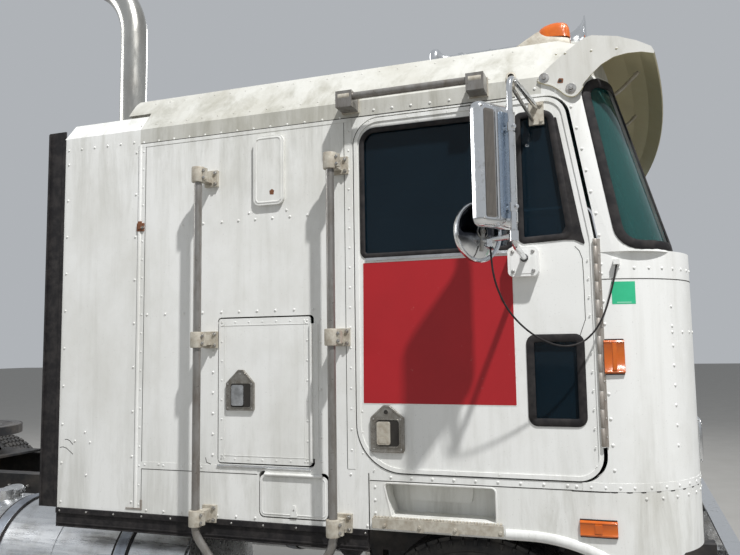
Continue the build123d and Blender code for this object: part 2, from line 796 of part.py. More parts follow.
SHELL_REAR_X = DOOR_FRONT_X - 470
WALL_TOP_X = DOOR_FRONT_X - 270
FAR_X = CAB_FRONT_X + 300
POST_Y = (CAB_HALF - 248, CAB_HALF - 212)


def upper_loft(inset):
    """Raked upper front of the cab, drawn in by an inset."""
    sections = []
    for z in (LEDGE_Z - 10, ROOF_BEND_Z):
        outline = plan_outline(SHELL_REAR_X, glass_front_x(z) - inset, CAB_HALF - inset, UPPER_CORNER_R - inset)
        sections.append(Pos(0, 0, z) * outline)
    return loft(sections, ruled=True)


def glass_openings(gap):
    """Right-hand openings: one round the corner, one in front, with a post between them and one at the centre."""
    low, top = LEDGE_Z + 18, ROOF_BEND_Z - 25
    lean_low, lean_top = CAB_FRONT_X - 246, CAB_FRONT_X - 360
    side = shape(
        [(lean_top + gap, top - gap), (FAR_X, top - gap), (FAR_X, low + gap), (lean_low + gap, low + gap)],
        [60, 0, 0, 80],
    )
    cuts = []
    for y in ((-CAB_HALF - 100, -POST_Y[1] - gap), (-POST_Y[0] + gap, -28 - gap)):
        front = shape([(y[0], 2000), (y[1], 2000), (y[1], 2800), (y[0], 2800)])
        cuts.append(side_sheet(side, y) & cross_sheet(front, (SHELL_REAR_X, FAR_X)))
    return cuts


GRILLE_HALF = 540.0
GRILLE_Z = (1190.0, 1720.0)
LAMP_Y = (610.0, 830.0)
LAMP_Z = (1240.0, 1400.0)


def build_cab_front():
    wide = (-CAB_HALF - 100, CAB_HALF + 100)
    outer = plan_outline(SHELL_REAR_X, CAB_FRONT_X, CAB_HALF, LOWER_CORNER_R)
    inner = plan_outline(SHELL_REAR_X - 100, CAB_FRONT_X - CAB_WALL, CAB_HALF - CAB_WALL, LOWER_CORNER_R - CAB_WALL)
    front_x = DOOR_FRONT_X + HINGE_ROOM + HINGE_LEAD
    lower = plan_sheet(outer - inner, (LOWER_SEAM_Z, LEDGE_Z))
    lower = lower & block((front_x, FAR_X), wide, (LOWER_SEAM_Z, LEDGE_Z))
    valance = plan_sheet(outer - inner, (ARCH_FLAT_Z, LOWER_SEAM_Z))
    lower += valance & block((CAB_FRONT_X - 112, FAR_X), (-VALANCE_HALF, VALANCE_HALF), (ARCH_FLAT_Z, LOWER_SEAM_Z))
    base_x = glass_front_x(LEDGE_Z)
    ledge_in = plan_outline(SHELL_REAR_X - 100, base_x - CAB_WALL, CAB_HALF - CAB_WALL, UPPER_CORNER_R)
    ledge = plan_sheet(outer - ledge_in, (LEDGE_Z - 20, LEDGE_Z))
    lower += ledge & block((front_x, FAR_X), wide, (LEDGE_Z - 30, LEDGE_Z + 10))
    upper = upper_loft(0) - upper_loft(CAB_WALL)
    region = shape(
        [
            (SHELL_REAR_X + 1, LEDGE_Z - 5),
            (FAR_X, LEDGE_Z - 5),
            (FAR_X, ROOF_BEND_Z),
            (PILLAR_TOP_X, ROOF_BEND_Z),
            (PILLAR_TOP_X, ROOF_SEAM_Z),
            (SHELL_REAR_X + 1, ROOF_SEAM_Z),
        ]
    )
    upper = upper & side_sheet(region, wide)
    opening = side_sheet(cab_door_outline(PANEL_GAP, HINGE_ROOM + HINGE_LEAD), wide)
    behind = shape(
        [
            (SHELL_REAR_X - 100, LEDGE_Z - 30),
            (DOOR_FRONT_X - 70, LEDGE_Z - 30),
            (WALL_TOP_X, ROOF_SEAM_Z - 20),
            (WALL_TOP_X, ROOF_SEAM_Z + 20),
            (SHELL_REAR_X - 100, ROOF_SEAM_Z + 20),
        ]
    )
    upper = upper - opening - side_sheet(behind, wide)
    front = lower + upper
    for cut in glass_openings(0):
        front = front - cut - left(cut)
    front -= block((CAB_FRONT_X - 112, FAR_X), (-GRILLE_HALF, GRILLE_HALF), GRILLE_Z)
    for cut in both(block((CAB_FRONT_X - 212, FAR_X), (-LAMP_Y[1], -LAMP_Y[0]), LAMP_Z)):
        front -= cut
    front += block(*GROMMET)
    # the shell's panels meet under the ledge, at the ends of the glass and where the corners start
    low_front, high_front = [], []
    for part in parted(front.solids(), "z", LEDGE_Z - 20):
        (low_front if part.center().Z < LEDGE_Z - 20 else high_front).append(part)
    for z in (LEDGE_Z + 18, ROOF_BEND_Z - 25):
        high_front = parted(high_front, "z", z)
    for side in (-1, 1):
        low_front = parted(low_front, "y", side * (CAB_HALF - LOWER_CORNER_R + 20))
        high_front = parted(high_front, "y", side * (CAB_HALF - UPPER_CORNER_R))
    node("cab_front", *low_front, *high_front)
    sheet = upper_loft(12) - upper_loft(18)
    panes = []
    for cut in glass_openings(SEAT_GAP):
        panes += both(sheet & cut)
    node("windscreens", *panes)


VALANCE_HALF = CAB_HALF - 300


def hinged_outline(x, z, grow, hinge_grow, corner):
    return shape(
        [(x[0] - grow, z[0] - grow), (x[1] + hinge_grow, z[0] - grow), (x[1] + hinge_grow, z[1] + grow), (x[0] - grow, z[1] + grow)],
        corner + grow,
    )


def flap_outline(grow, hinge_grow):
    x, z = FLAP_X, FLAP_Z
    return shape(
        [(x[0] - grow, z[0] - grow), (x[1] + grow, z[0] - grow), (x[1] + grow, z[1] + hinge_grow), (x[0] - grow, z[1] + hinge_grow)],
        22,
    )


def build_sides():
    y = (-CAB_HALF, -CAB_HALF + CAB_WALL)
    front_x = DOOR_FRONT_X + HINGE_ROOM + HINGE_LEAD
    wall = shape(
        [
            (CAB_BACK_X, CAB_BOTTOM_Z),
            (PANEL_REAR_X, CAB_BOTTOM_Z),
            (PANEL_REAR_X, LOWER_SEAM_Z),
            (front_x, LOWER_SEAM_Z),
            (front_x, DOOR_LEAN_Z - 300),
            (WALL_TOP_X, DOOR_LEAN_Z + 300),
            (WALL_TOP_X, ROOF_SEAM_Z),
            (CAB_BACK_X, ROOF_SEAM_Z),
        ]
    )
    wall -= cab_door_outline(PANEL_GAP, HINGE_ROOM + HINGE_LEAD)
    wall -= hinged_outline(LUGGAGE_X, LUGGAGE_Z, PANEL_GAP, HINGE_ROOM + HINGE_LEAD, 12)
    side = side_sheet(wall, y)
    pad_x = (DOOR_REAR_X - 462, DOOR_REAR_X - 318)
    pad = shape([(pad_x[0], 2316), (pad_x[1], 2316), (pad_x[1], 2622), (pad_x[0], 2622)], 30)
    side += side_sheet(pad, (-CAB_HALF - 14, -CAB_HALF + 1))
    hinge_x = DOOR_FRONT_X + HINGE_LEAD
    door_hinge = rod_z(hinge_x, -CAB_HALF - HINGE_R, (HINGE_BOTTOM_Z, DOOR_LEAN_Z), HINGE_R)
    door_hinge += block(
        (hinge_x + 2, hinge_x + 18),
        (-CAB_HALF - 3, -CAB_HALF),
        (HINGE_BOTTOM_Z, DOOR_LEAN_Z),
    )
    luggage_x = LUGGAGE_X[1] + HINGE_LEAD
    luggage_hinge = rod_z(luggage_x, -CAB_HALF - HINGE_R, (LUGGAGE_Z[0] + 30, LUGGAGE_Z[1] - 30), HINGE_R)
    luggage_hinge += block((luggage_x + 2, luggage_x + 30), (-CAB_HALF - 3, -CAB_HALF), (LUGGAGE_Z[0] + 30, LUGGAGE_Z[1] - 30))
    extender = shape(
        [
            (-CAB_HALF, CAB_BOTTOM_Z),
            (-CAB_HALF + EXTENDER_T, CAB_BOTTOM_Z),
            (-CAB_HALF + EXTENDER_T, ROOF_BEND_Z - 4),
            (-CAB_HALF + EXTENDER_T + 62, ROOF_BEND_Z + 70),
            (-CAB_HALF + 72, ROOF_BEND_Z + 86),
            (-CAB_HALF, ROOF_BEND_Z),
        ]
    )
    extender = cross_sheet(extender, (EXTENDER_REAR_X, CAB_BACK_X))
    flap_z = FLAP_Z[1] + HINGE_LEAD
    flap_x = (FLAP_X[0] + 24, FLAP_X[1] - 24)
    right = side - side_sheet(flap_outline(PANEL_GAP, HINGE_ROOM + HINGE_LEAD), y)
    flap_hinge = rod_x(flap_x, -CAB_HALF - HINGE_R, flap_z, HINGE_R)
    flap_hinge += block(flap_x, (-CAB_HALF - 3, -CAB_HALF), (flap_z + 2, flap_z + 26))
    shared = [door_hinge, luggage_hinge, extender]
    solids = side_panels(right) + shared + [flap_hinge]
    solids += [left(part) for part in side_panels(side) + shared]
    node("cab_sides", *solids)


def side_panels(side):
    """The side wall as panels: above, below and on both sides of the luggage opening, and round the door."""
    door_x = DOOR_REAR_X - PANEL_GAP
    rear, ahead = [], []
    for part in parted(side.solids(), "x", door_x):
        (rear if part.center().X < door_x else ahead).append(part)
    corner = 13
    for z in (LUGGAGE_Z[0] - PANEL_GAP + corner, LUGGAGE_Z[1] + PANEL_GAP - corner):
        rear = parted(rear, "z", z)
    return rear + parted(ahead, "x", PANEL_REAR_X)


def build_doors():
    skin_y = (-CAB_HALF, -CAB_HALF + SKIN_T)
    pan_y = (-CAB_HALF + SKIN_T, -CAB_HALF + DOOR_T)
    outline = cab_door_outline(0, 0)
    door = side_sheet(outline, skin_y)
    pan = offset(outline, -PAN_INSET)
    far = DOOR_FRONT_X + 120
    pan_x = DOOR_FRONT_X - PAN_HINGE_INSET
    pan = pan - shape([(pan_x, 1100), (far, 1100), (far, 2700), (DOOR_TOP_FRONT_X - 56, 2700), (pan_x, DOOR_LEAN_Z)])
    door += side_sheet(pan, pan_y)
    bead = outline - offset(outline, -16)
    bead -= shape([(DOOR_FRONT_X - 12, 1000), (far, 1000), (far, 2200), (DOOR_FRONT_X - 12, 2200)])
    door += side_sheet(bead, (-CAB_HALF - 4, -CAB_HALF))
    windows = window_outlines(0)
    for window in windows:
        door -= side_sheet(window, (-CAB_HALF - 10, -CAB_HALF + DOOR_T + 5))
    hx = DOOR_REAR_X + 63
    handle = shape([(hx, 1290), (hx + 131, 1290), (hx + 131, 1420), (hx + 72, 1467), (hx + 52, 1467), (hx, 1420)], 10)
    door += side_sheet(handle, (-CAB_HALF - 10, -CAB_HALF))
    glass = []
    for window in window_outlines(SEAT_GAP):
        glass.append(side_sheet(window, (-CAB_HALF + 12, -CAB_HALF + 18)))
    node("door_right", door)
    node("door_left", left(door))
    node("door_glass_right", *glass)
    node("door_glass_left", *[left(g) for g in glass])


def window_outlines(gap):
    g = gap
    # columns: rear x, front x at the foot and at the top, low z, top z, corner radii
    rear, front = DOOR_REAR_X + 36, DOOR_FRONT_X - 308
    main = shape([(rear + g, 2072 + g), (front - g, 2072 + g), (front - g, 2592 - g), (rear + g, 2592 - g)], [20, 20, 20, 55])
    rear, low_x, top_x = DOOR_FRONT_X - 264, DOOR_FRONT_X - 84, DOOR_FRONT_X - 144
    vent = shape([(rear + g, 2096 + g), (low_x - g, 2104 + g), (top_x - g, 2580 - g), (rear + g, 2580 - g)], [15, 25, 30, 15])
    rear, front = DOOR_FRONT_X - 240, DOOR_FRONT_X - 70
    peep = shape([(rear + g, 1420 + g), (front - g, 1420 + g), (front - g, 1718 - g), (rear + g, 1718 - g)], 15)
    return [main, vent, peep]


def mirror_plane(x, y):
    """Upright plane of a mirror's glass, facing back and in to the driver, with z as its second axis."""
    turn = radians(MIRROR_TURN)
    return Plane(origin=(x, y, 0), x_dir=(-sin(turn), -cos(turn), 0), z_dir=(-cos(turn), sin(turn), 0))


def build_mirrors():
    y = -CAB_HALF - MIRROR_OUT
    skin = -CAB_HALF
    top_z, low_z = 2646, 2042
    loop = tube(
        [
            (TUBE_X + 60, skin - 12, top_z - 40),
            (TUBE_X, y, top_z),
            (TUBE_X, y, low_z),
            (TUBE_X, skin - 30, low_z - 20),
        ],
        [45, 45],
        MIRROR_TUBE_R,
    )
    foot_x = (DOOR_FRONT_X - 313, DOOR_FRONT_X - 200)
    foot = shape([(foot_x[0], 1955), (foot_x[1], 1955), (foot_x[1], 2066), (foot_x[0], 2066)], 20)
    loop += side_sheet(foot, (skin - 45, skin))
    loop += block((TUBE_X + 32, TUBE_X + 88), (skin - 14, skin), (top_z - 60, top_z - 22))
    half = MIRROR_W / 2
    head = shape([(-half, MIRROR_Z[0]), (half, MIRROR_Z[0]), (half, MIRROR_Z[1]), (-half, MIRROR_Z[1])], 30)
    plane = mirror_plane(MIRROR_X, y)
    loop += extrude(plane.offset(-MIRROR_T / 2) * head, MIRROR_T)
    way = plane.z_dir
    for z in (2170, 2450):
        start = Vector(TUBE_X, y, z)
        loop += tube([tuple(start), tuple(start + way * 30)], [], 9)
    disc_x, disc_y, disc_z = ROUND_MIRROR
    plane = mirror_plane(disc_x, disc_y)
    loop += extrude(plane * Pos(0, disc_z) * Circle(ROUND_MIRROR_R), ROUND_MIRROR_T)
    arm_z = disc_z - 31
    loop += tube([(TUBE_X, y, arm_z), (disc_x - 8, disc_y + 6, arm_z)], [], 9)
    x, cy, cz = CABLE_POINTS[0]
    loop += block((x - 9, x + 9), (cy - 9, cy + 9), (cz + 1.5, arm_z))
    node("mirror_right", loop)
    node("mirror_left", left(loop))


def build_luggage():
    x, z = LUGGAGE_X, LUGGAGE_Z
    panel = side_sheet(hinged_outline(x, z, 0, 0, 12), (-CAB_HALF, -CAB_HALF + SKIN_T))
    pan = shape([(x[0] + 20, z[0] + 20), (x[1] - 50, z[0] + 20), (x[1] - 50, z[1] - 20), (x[0] + 20, z[1] - 20)], 12)
    panel += side_sheet(pan, (-CAB_HALF + SKIN_T, -CAB_HALF + 34))
    lx = x[0] + 44
    latch = shape([(lx, 1436), (lx + 110, 1436), (lx + 110, 1556), (lx + 55, 1606), (lx, 1556)], 8)
    panel += side_sheet(latch, (-CAB_HALF - 9, -CAB_HALF))
    node("luggage_door_right", panel)
    node("luggage_door_left", left(panel))
    x, z = FLAP_X, FLAP_Z
    flap = side_sheet(flap_outline(0, 0), (-CAB_HALF, -CAB_HALF + SKIN_T))
    inner = shape([(x[0] + 20, z[0] + 20), (x[1] - 20, z[0] + 20), (x[1] - 20, z[1] - 50), (x[0] + 20, z[1] - 50)], 12)
    flap += side_sheet(inner, (-CAB_HALF + SKIN_T, -CAB_HALF + 28))
    node("side_flap", flap)


def roof_section(inset):
    h, e = CAB_HALF - inset, ROOF_EDGE_Y - inset * 0.75
    bend, edge, crown = ROOF_BEND_Z - inset * 0.35, ROOF_EDGE_Z - inset, ROOF_CROWN_Z - inset
    low = ROOF_SEAM_Z if inset == 0 else ROOF_SEAM_Z - 20
    lines = [
        Line((-h, low), (-h, bend)),
        Line((-h, bend), (-e, edge)),
        ThreePointArc((-e, edge), (0, crown), (e, edge)),
        Line((e, edge), (h, bend)),
        Line((h, bend), (h, low)),
        Line((h, low), (-h, low)),
    ]
    return make_face(lines)


def roof_solid(inset):
    f = glass_front_x(ROOF_BEND_Z) - inset
    rear = CAB_BACK_X - inset
    high = ROOF_CROWN_Z + 60 - inset
    body = cross_sheet(roof_section(inset), (rear, f + 20))
    side = shape(
        [
            (rear - 1, ROOF_SEAM_Z - 160),
            (f, ROOF_SEAM_Z - 160),
            (f, ROOF_BEND_Z),
            (f - 52, ROOF_BEND_Z + 123),
            (f - 202, ROOF_BEND_Z + 200),
            (f - 430, high),
            (rear - 1, high),
        ],
        [0, 0, 0, 60, 120, 0, 0],
    )
    body = body & side_sheet(side, (-CAB_HALF - 100, CAB_HALF + 100))
    plan = plan_outline(rear - 2, f, CAB_HALF - inset, UPPER_CORNER_R - inset)
    return body & plan_sheet(plan, (2400, 3200))


def build_roof():
    roof = roof_solid(0) - roof_solid(CAB_WALL)
    roof = roof & block((CAB_BACK_X, FAR_X), (-CAB_HALF - 1, CAB_HALF + 1), (ROOF_SEAM_Z, 3200))
    roof -= block((PILLAR_TOP_X, FAR_X), (-CAB_HALF - 1, CAB_HALF + 1), (ROOF_SEAM_Z - 1, ROOF_BEND_Z))
    # overhang behind the back wall, rounded down at its rear end
    hood = cross_sheet(roof_section(0) - roof_section(CAB_WALL), (ROOF_REAR_X, CAB_BACK_X))
    reach = shape(
        [
            (ROOF_REAR_X, ROOF_BEND_Z + 103),
            (CAB_BACK_X, ROOF_BEND_Z + 103),
            (CAB_BACK_X, ROOF_CROWN_Z + 40),
            (ROOF_REAR_X + 85, ROOF_CROWN_Z + 40),
            (ROOF_REAR_X, ROOF_EDGE_Z - 18),
        ],
        [0, 0, 0, 0, 45],
    )
    roof += hood & side_sheet(reach, (-CAB_HALF, CAB_HALF))
    node("cab_roof", roof)
    h = CAB_HALF - CAB_WALL
    back = roof_section(CAB_WALL) + shape([(-h, FLOOR_Z), (h, FLOOR_Z), (h, ROOF_SEAM_Z), (-h, ROOF_SEAM_Z)])
    back -= shape([(-TUNNEL_HALF, 1000), (TUNNEL_HALF, 1000), (TUNNEL_HALF, TUNNEL_TOP_Z), (-TUNNEL_HALF, TUNNEL_TOP_Z)])
    node("cab_back", cross_sheet(back, (CAB_BACK_X, CAB_BACK_X + CAB_WALL)))


RECESS_X = (PANEL_REAR_X + 59, PANEL_REAR_X + 498)
RECESS_Z = (1040.0, 1165.0)
RECESS_DEPTH = 110.0


def build_floor():
    half = CAB_HALF - CAB_WALL
    inner = plan_outline(CAB_BACK_X + CAB_WALL, CAB_FRONT_X - CAB_WALL, half, LOWER_CORNER_R - CAB_WALL)
    notch = (RECESS_X[0] - 12, RECESS_X[1] + 12)
    narrow = CAB_HALF - RECESS_DEPTH - 12
    z = (FLOOR_Z, FLOOR_Z + FLOOR_T)
    fork_x, fork_z = CYL_EYE
    fork = shape(
        [(fork_x - 55, FLOOR_Z), (fork_x - 40, fork_z - 45), (fork_x + 40, fork_z - 45), (fork_x + 55, FLOOR_Z)],
        [0, 20, 20, 0],
    )
    # floor pans: x range and half width of each, on both sides of the engine tunnel
    pans = []
    for side in (-1, 1):
        for x, wide in (
            ((CAB_BACK_X + CAB_WALL, notch[0]), half),
            (notch, narrow),
            ((notch[1], TUNNEL_FRONT_X), half),
        ):
            y = (-wide, -TUNNEL_HALF) if side < 0 else (TUNNEL_HALF, wide)
            pan = block(x, y, z) & plan_sheet(inner, z)
            if side < 0 and wide == half and x[1] == TUNNEL_FRONT_X:
                for fy in (CYL_Y - CYL_EYE_W / 2 - 22, CYL_Y + CYL_EYE_W / 2 + 10):
                    pan += side_sheet(fork, (fy, fy + 12))
            pans.append(pan)
    floor = plan_sheet(inner, z) & block((TUNNEL_FRONT_X, FAR_X), (-CAB_HALF, CAB_HALF), z)
    cheek = shape(
        [
            (PIVOT_X - 38, FLOOR_Z),
            (PIVOT_X - 38, PIVOT_Z - 20),
            (PIVOT_X - 20, PIVOT_Z - 38),
            (PIVOT_X + 20, PIVOT_Z - 38),
            (PIVOT_X + 30, PIVOT_Z - 20),
            (PIVOT_X + 30, ARCH_FLAT_Z - 30),
            (PIVOT_X + 10, ARCH_FLAT_Z - 12),
            (PIVOT_X + 10, FLOOR_Z),
        ]
    )
    mount = None
    for y in (-PIVOT_Y - 27 - 34, -PIVOT_Y + 27):
        piece = side_sheet(cheek, (y, y + 34))
        mount = piece if mount is None else mount + piece
    mount += rod_y(PIVOT_X, (-PIVOT_Y - 61, -PIVOT_Y + 61), PIVOT_Z, PIVOT_PIN_R)
    floor += mount + left(mount)
    seat_x = DOOR_REAR_X + 330
    for y in (-700, 700):
        pans.append(block((seat_x - 180, seat_x + 180), (y - 200, y + 200), (FLOOR_Z + FLOOR_T, 1420)))
    tunnel = shape(
        [
            (-TUNNEL_HALF - TUNNEL_WALL, FLOOR_Z + FLOOR_T),
            (-TUNNEL_HALF - TUNNEL_WALL, TUNNEL_TOP_Z + TUNNEL_WALL),
            (TUNNEL_HALF + TUNNEL_WALL, TUNNEL_TOP_Z + TUNNEL_WALL),
            (TUNNEL_HALF + TUNNEL_WALL, FLOOR_Z + FLOOR_T),
            (TUNNEL_HALF, FLOOR_Z + FLOOR_T),
            (TUNNEL_HALF, TUNNEL_TOP_Z),
            (-TUNNEL_HALF, TUNNEL_TOP_Z),
            (-TUNNEL_HALF, FLOOR_Z + FLOOR_T),
        ]
    )
    tunnel = cross_sheet(tunnel, (CAB_BACK_X + CAB_WALL, TUNNEL_FRONT_X))
    bunk_x = (CAB_BACK_X + CAB_WALL, BUNK_FRONT_X)
    panel_x = (BUNK_FRONT_X - 20, BUNK_FRONT_X)
    top_z = (BERTH_Z - 25, BERTH_Z)
    bunk = [block(bunk_x, (-half, half), top_z)]
    bunk.append(block(panel_x, (-TUNNEL_HALF - TUNNEL_WALL, TUNNEL_HALF + TUNNEL_WALL), (TUNNEL_TOP_Z + TUNNEL_WALL, top_z[0])))
    bunk += both(block(panel_x, (-half, -TUNNEL_HALF - TUNNEL_WALL), (FLOOR_Z + FLOOR_T, top_z[0])))
    node("cab_floor", floor, *pans, tunnel, *bunk)


BERTH_Z = 1865.0
BUNK_FRONT_X = DOOR_REAR_X - 270


def build_seats():
    berth = (-CAB_HALF + 60, CAB_HALF - 60)
    solids = [block((CAB_BACK_X + 60, BUNK_FRONT_X - 40), berth, (BERTH_Z + SEAT_GAP, BERTH_Z + 125))]
    x = DOOR_REAR_X
    for y in (-700, 700):
        seat = block((x + 90, x + 570), (y - 250, y + 250), (1420 + SEAT_GAP, 1560))
        back = shape([(x + 30, 1440), (x + 160, 1440), (x + 70, 2150), (x - 40, 2150)], 30)
        solids.append(seat + side_sheet(back, (y - 245, y + 245)))
    node("seats", *solids)
    f = CAB_FRONT_X
    profile = shape([(f - 352, 1800), (f - 52, 1760), (f - 82, 1995), (f - 212, 2003), (f - 352, 1900)], 20)
    dash = side_sheet(profile, (-CAB_HALF + 120, CAB_HALF - 120))
    room = plan_outline(f - 1112, f - 60, CAB_HALF - CAB_WALL - 2, 300)
    dash = dash & plan_sheet(room, (1700, 2100))
    dash += block((f - 322, TUNNEL_FRONT_X), (-300, 300), (TUNNEL_TOP_Z + TUNNEL_WALL, 1810))
    cx, cy, cz = WHEEL_CENTRE
    lean = radians(WHEEL_LEAN)
    axis = Vector(-sin(lean), 0, cos(lean))
    reach = 900
    low = Vector(cx, cy, cz) - axis * reach
    column = Plane(origin=low, z_dir=axis) * Pos(0, 0, (reach - 60) / 2) * Cylinder(28, reach - 60)
    column = column & block((cx - 200, f - CAB_WALL), (cy - 100, cy + 100), (FLOOR_Z + FLOOR_T, cz))
    stay = shape([(cx + 60, 1765), (cx + 220, 1830), (cx + 220, 1870), (cx + 65, 1800)])
    column += side_sheet(stay, (cy - 20, cy + 20))
    node("dashboard", dash + column)
    plane = Plane(origin=WHEEL_CENTRE, x_dir=(0, 1, 0), z_dir=axis)
    rim = plane * Torus(WHEEL_R, 14)
    hub = plane * Pos(0, 0, -25) * Cylinder(48, 70 - SEAT_GAP * 2)
    wheel = rim + hub
    for angle in (90, 210, 330):
        spoke = plane * Rot(0, 0, angle) * Pos(WHEEL_R / 2, 0, -6) * Box(WHEEL_R, 34, 12)
        wheel += spoke
    node("steering_wheel", wheel)


def build_fenders():
    outer = plan_outline(PANEL_REAR_X, CAB_FRONT_X, CAB_HALF, LOWER_CORNER_R)
    inner = plan_outline(PANEL_REAR_X - 10, CAB_FRONT_X - 30, CAB_HALF - 30, LOWER_CORNER_R - 30)
    skin = plan_outline(PANEL_REAR_X - 10, CAB_FRONT_X - FENDER_SKIN, CAB_HALF - FENDER_SKIN, LOWER_CORNER_R - FENDER_SKIN)
    high = plan_sheet(outer - inner, (ARCH_FLAT_Z, LOWER_SEAM_Z))
    low = plan_sheet(outer - skin, (890, ARCH_FLAT_Z))
    ring = (high + low) & block((PANEL_REAR_X, FAR_X), (-CAB_HALF - 50, -VALANCE_HALF), (800, 1300))
    # lower edge of the panel: flat over the step, round the arch, then up to the front corner
    drop = 890.0
    heel, toe = PANEL_REAR_X - 90, CAB_FRONT_X - 82
    turn = ARCH_R - (ARCH_LIP_Z - drop)
    arch_end = ARCH_TURN_X + (ARCH_R ** 2 - turn ** 2) ** 0.5
    mid = radians(90 - degrees(atan2(arch_end - ARCH_TURN_X, turn)) / 2)
    centre_z = ARCH_LIP_Z - ARCH_R
    arc = ThreePointArc(
        (ARCH_TURN_X, ARCH_LIP_Z),
        (ARCH_TURN_X + ARCH_R * cos(mid), centre_z + ARCH_R * sin(mid)),
        (arch_end, drop),
    )
    edge = [
        Line((heel, ARCH_LIP_Z), (ARCH_TURN_X, ARCH_LIP_Z)),
        arc,
        Line((arch_end, drop), (toe - 50, drop)),
        Line((toe - 50, drop), (toe, 950)),
        Line((toe, 950), (FAR_X, 950)),
        Line((FAR_X, 950), (FAR_X, 700)),
        Line((FAR_X, 700), (heel, 700)),
        Line((heel, 700), (heel, ARCH_LIP_Z)),
    ]
    ring -= side_sheet(make_face(edge), (-CAB_HALF - 50, 0))
    pocket = block(RECESS_X, (-CAB_HALF - 1, -CAB_HALF + RECESS_DEPTH), RECESS_Z)
    shell = block(
        (RECESS_X[0] - 5, RECESS_X[1] + 5),
        (-CAB_HALF + 2, -CAB_HALF + RECESS_DEPTH + 5),
        (RECESS_Z[0] - 5, RECESS_Z[1] + 4),
    )
    ring = ring + shell - pocket
    node("fenders", *both(ring))
    step = block((PANEL_REAR_X + 18, PANEL_REAR_X + 527), (-CAB_HALF - 20, -CAB_HALF), (994, 1036))
    node("step_plates", *both(step))


def build_skirts():
    y = (-CAB_HALF + 2, -CAB_HALF + 2 + RUBBER_T)
    rear = block((EXTENDER_REAR_X, PANEL_REAR_X - 5), y, (SKIRT_BOTTOM_Z, CAB_BOTTOM_Z))
    edge = block((RUBBER_REAR_X, EXTENDER_REAR_X), y, (CAB_BOTTOM_Z, ROOF_BEND_Z + 40))
    node("rubber_skirts", *both(rear + edge))


def build_visor():
    ends = CAB_HALF + 6
    f = CAB_FRONT_X
    # side profile of the sheet, ahead of the cab's front line, from its rear edge round the lip and back
    top = [(-414, 2862), (-366, 2856), (-346, 2858), (-318, 2859), (-227, 2841), (-161, 2814), (-112, 2785), (-102, 2764)]
    low = [(-106, 2757), (-163, 2807), (-229, 2834), (-320, 2852), (-366, 2849), (-414, 2855)]
    bow = 76.0
    radius = (ends ** 2 + bow ** 2) / (2 * bow)
    centre_x = f - 102 + bow - radius
    half_angle = degrees(atan2(ends, radius - bow))
    axis = Axis((centre_x, 0, 0), (0, 0, 1))
    profile = shape([(f + x, z) for x, z in top + low])
    face = Plane((0, 0, 0), x_dir=(1, 0, 0), z_dir=(0, -1, 0)) * (Pos(bow, 0) * profile)
    sheet = revolve(face, axis, half_angle) + revolve(face, axis, -half_angle)
    sheet -= roof_solid(0)
    for trim in both(block((f - 600, f - 366), (-ends - 50, -ROOF_EDGE_Y - 20), (2800, 2900))):
        sheet -= trim
    # cheek at each end: along the door's corner, up to the lip, and back over the top
    edge = [
        (-523, 2720), (-510, 2699), (-474, 2688), (-440, 2668), (-417, 2640), (-395, 2633), (-373, 2651), (-350, 2683),
        (-325, 2709), (-289, 2741), (-244, 2764), (-196, 2771), (-147, 2769), (-104, 2757),
        (-102, 2764), (-112, 2785), (-161, 2814), (-227, 2841), (-318, 2859), (-347, 2853), (-420, 2806), (-480, 2758),
    ]
    cheek = shape([(f + x, z) for x, z in edge])
    fin = side_sheet(cheek, (-ends, -CAB_HALF))
    node("sun_visor", sheet + fin + left(fin))


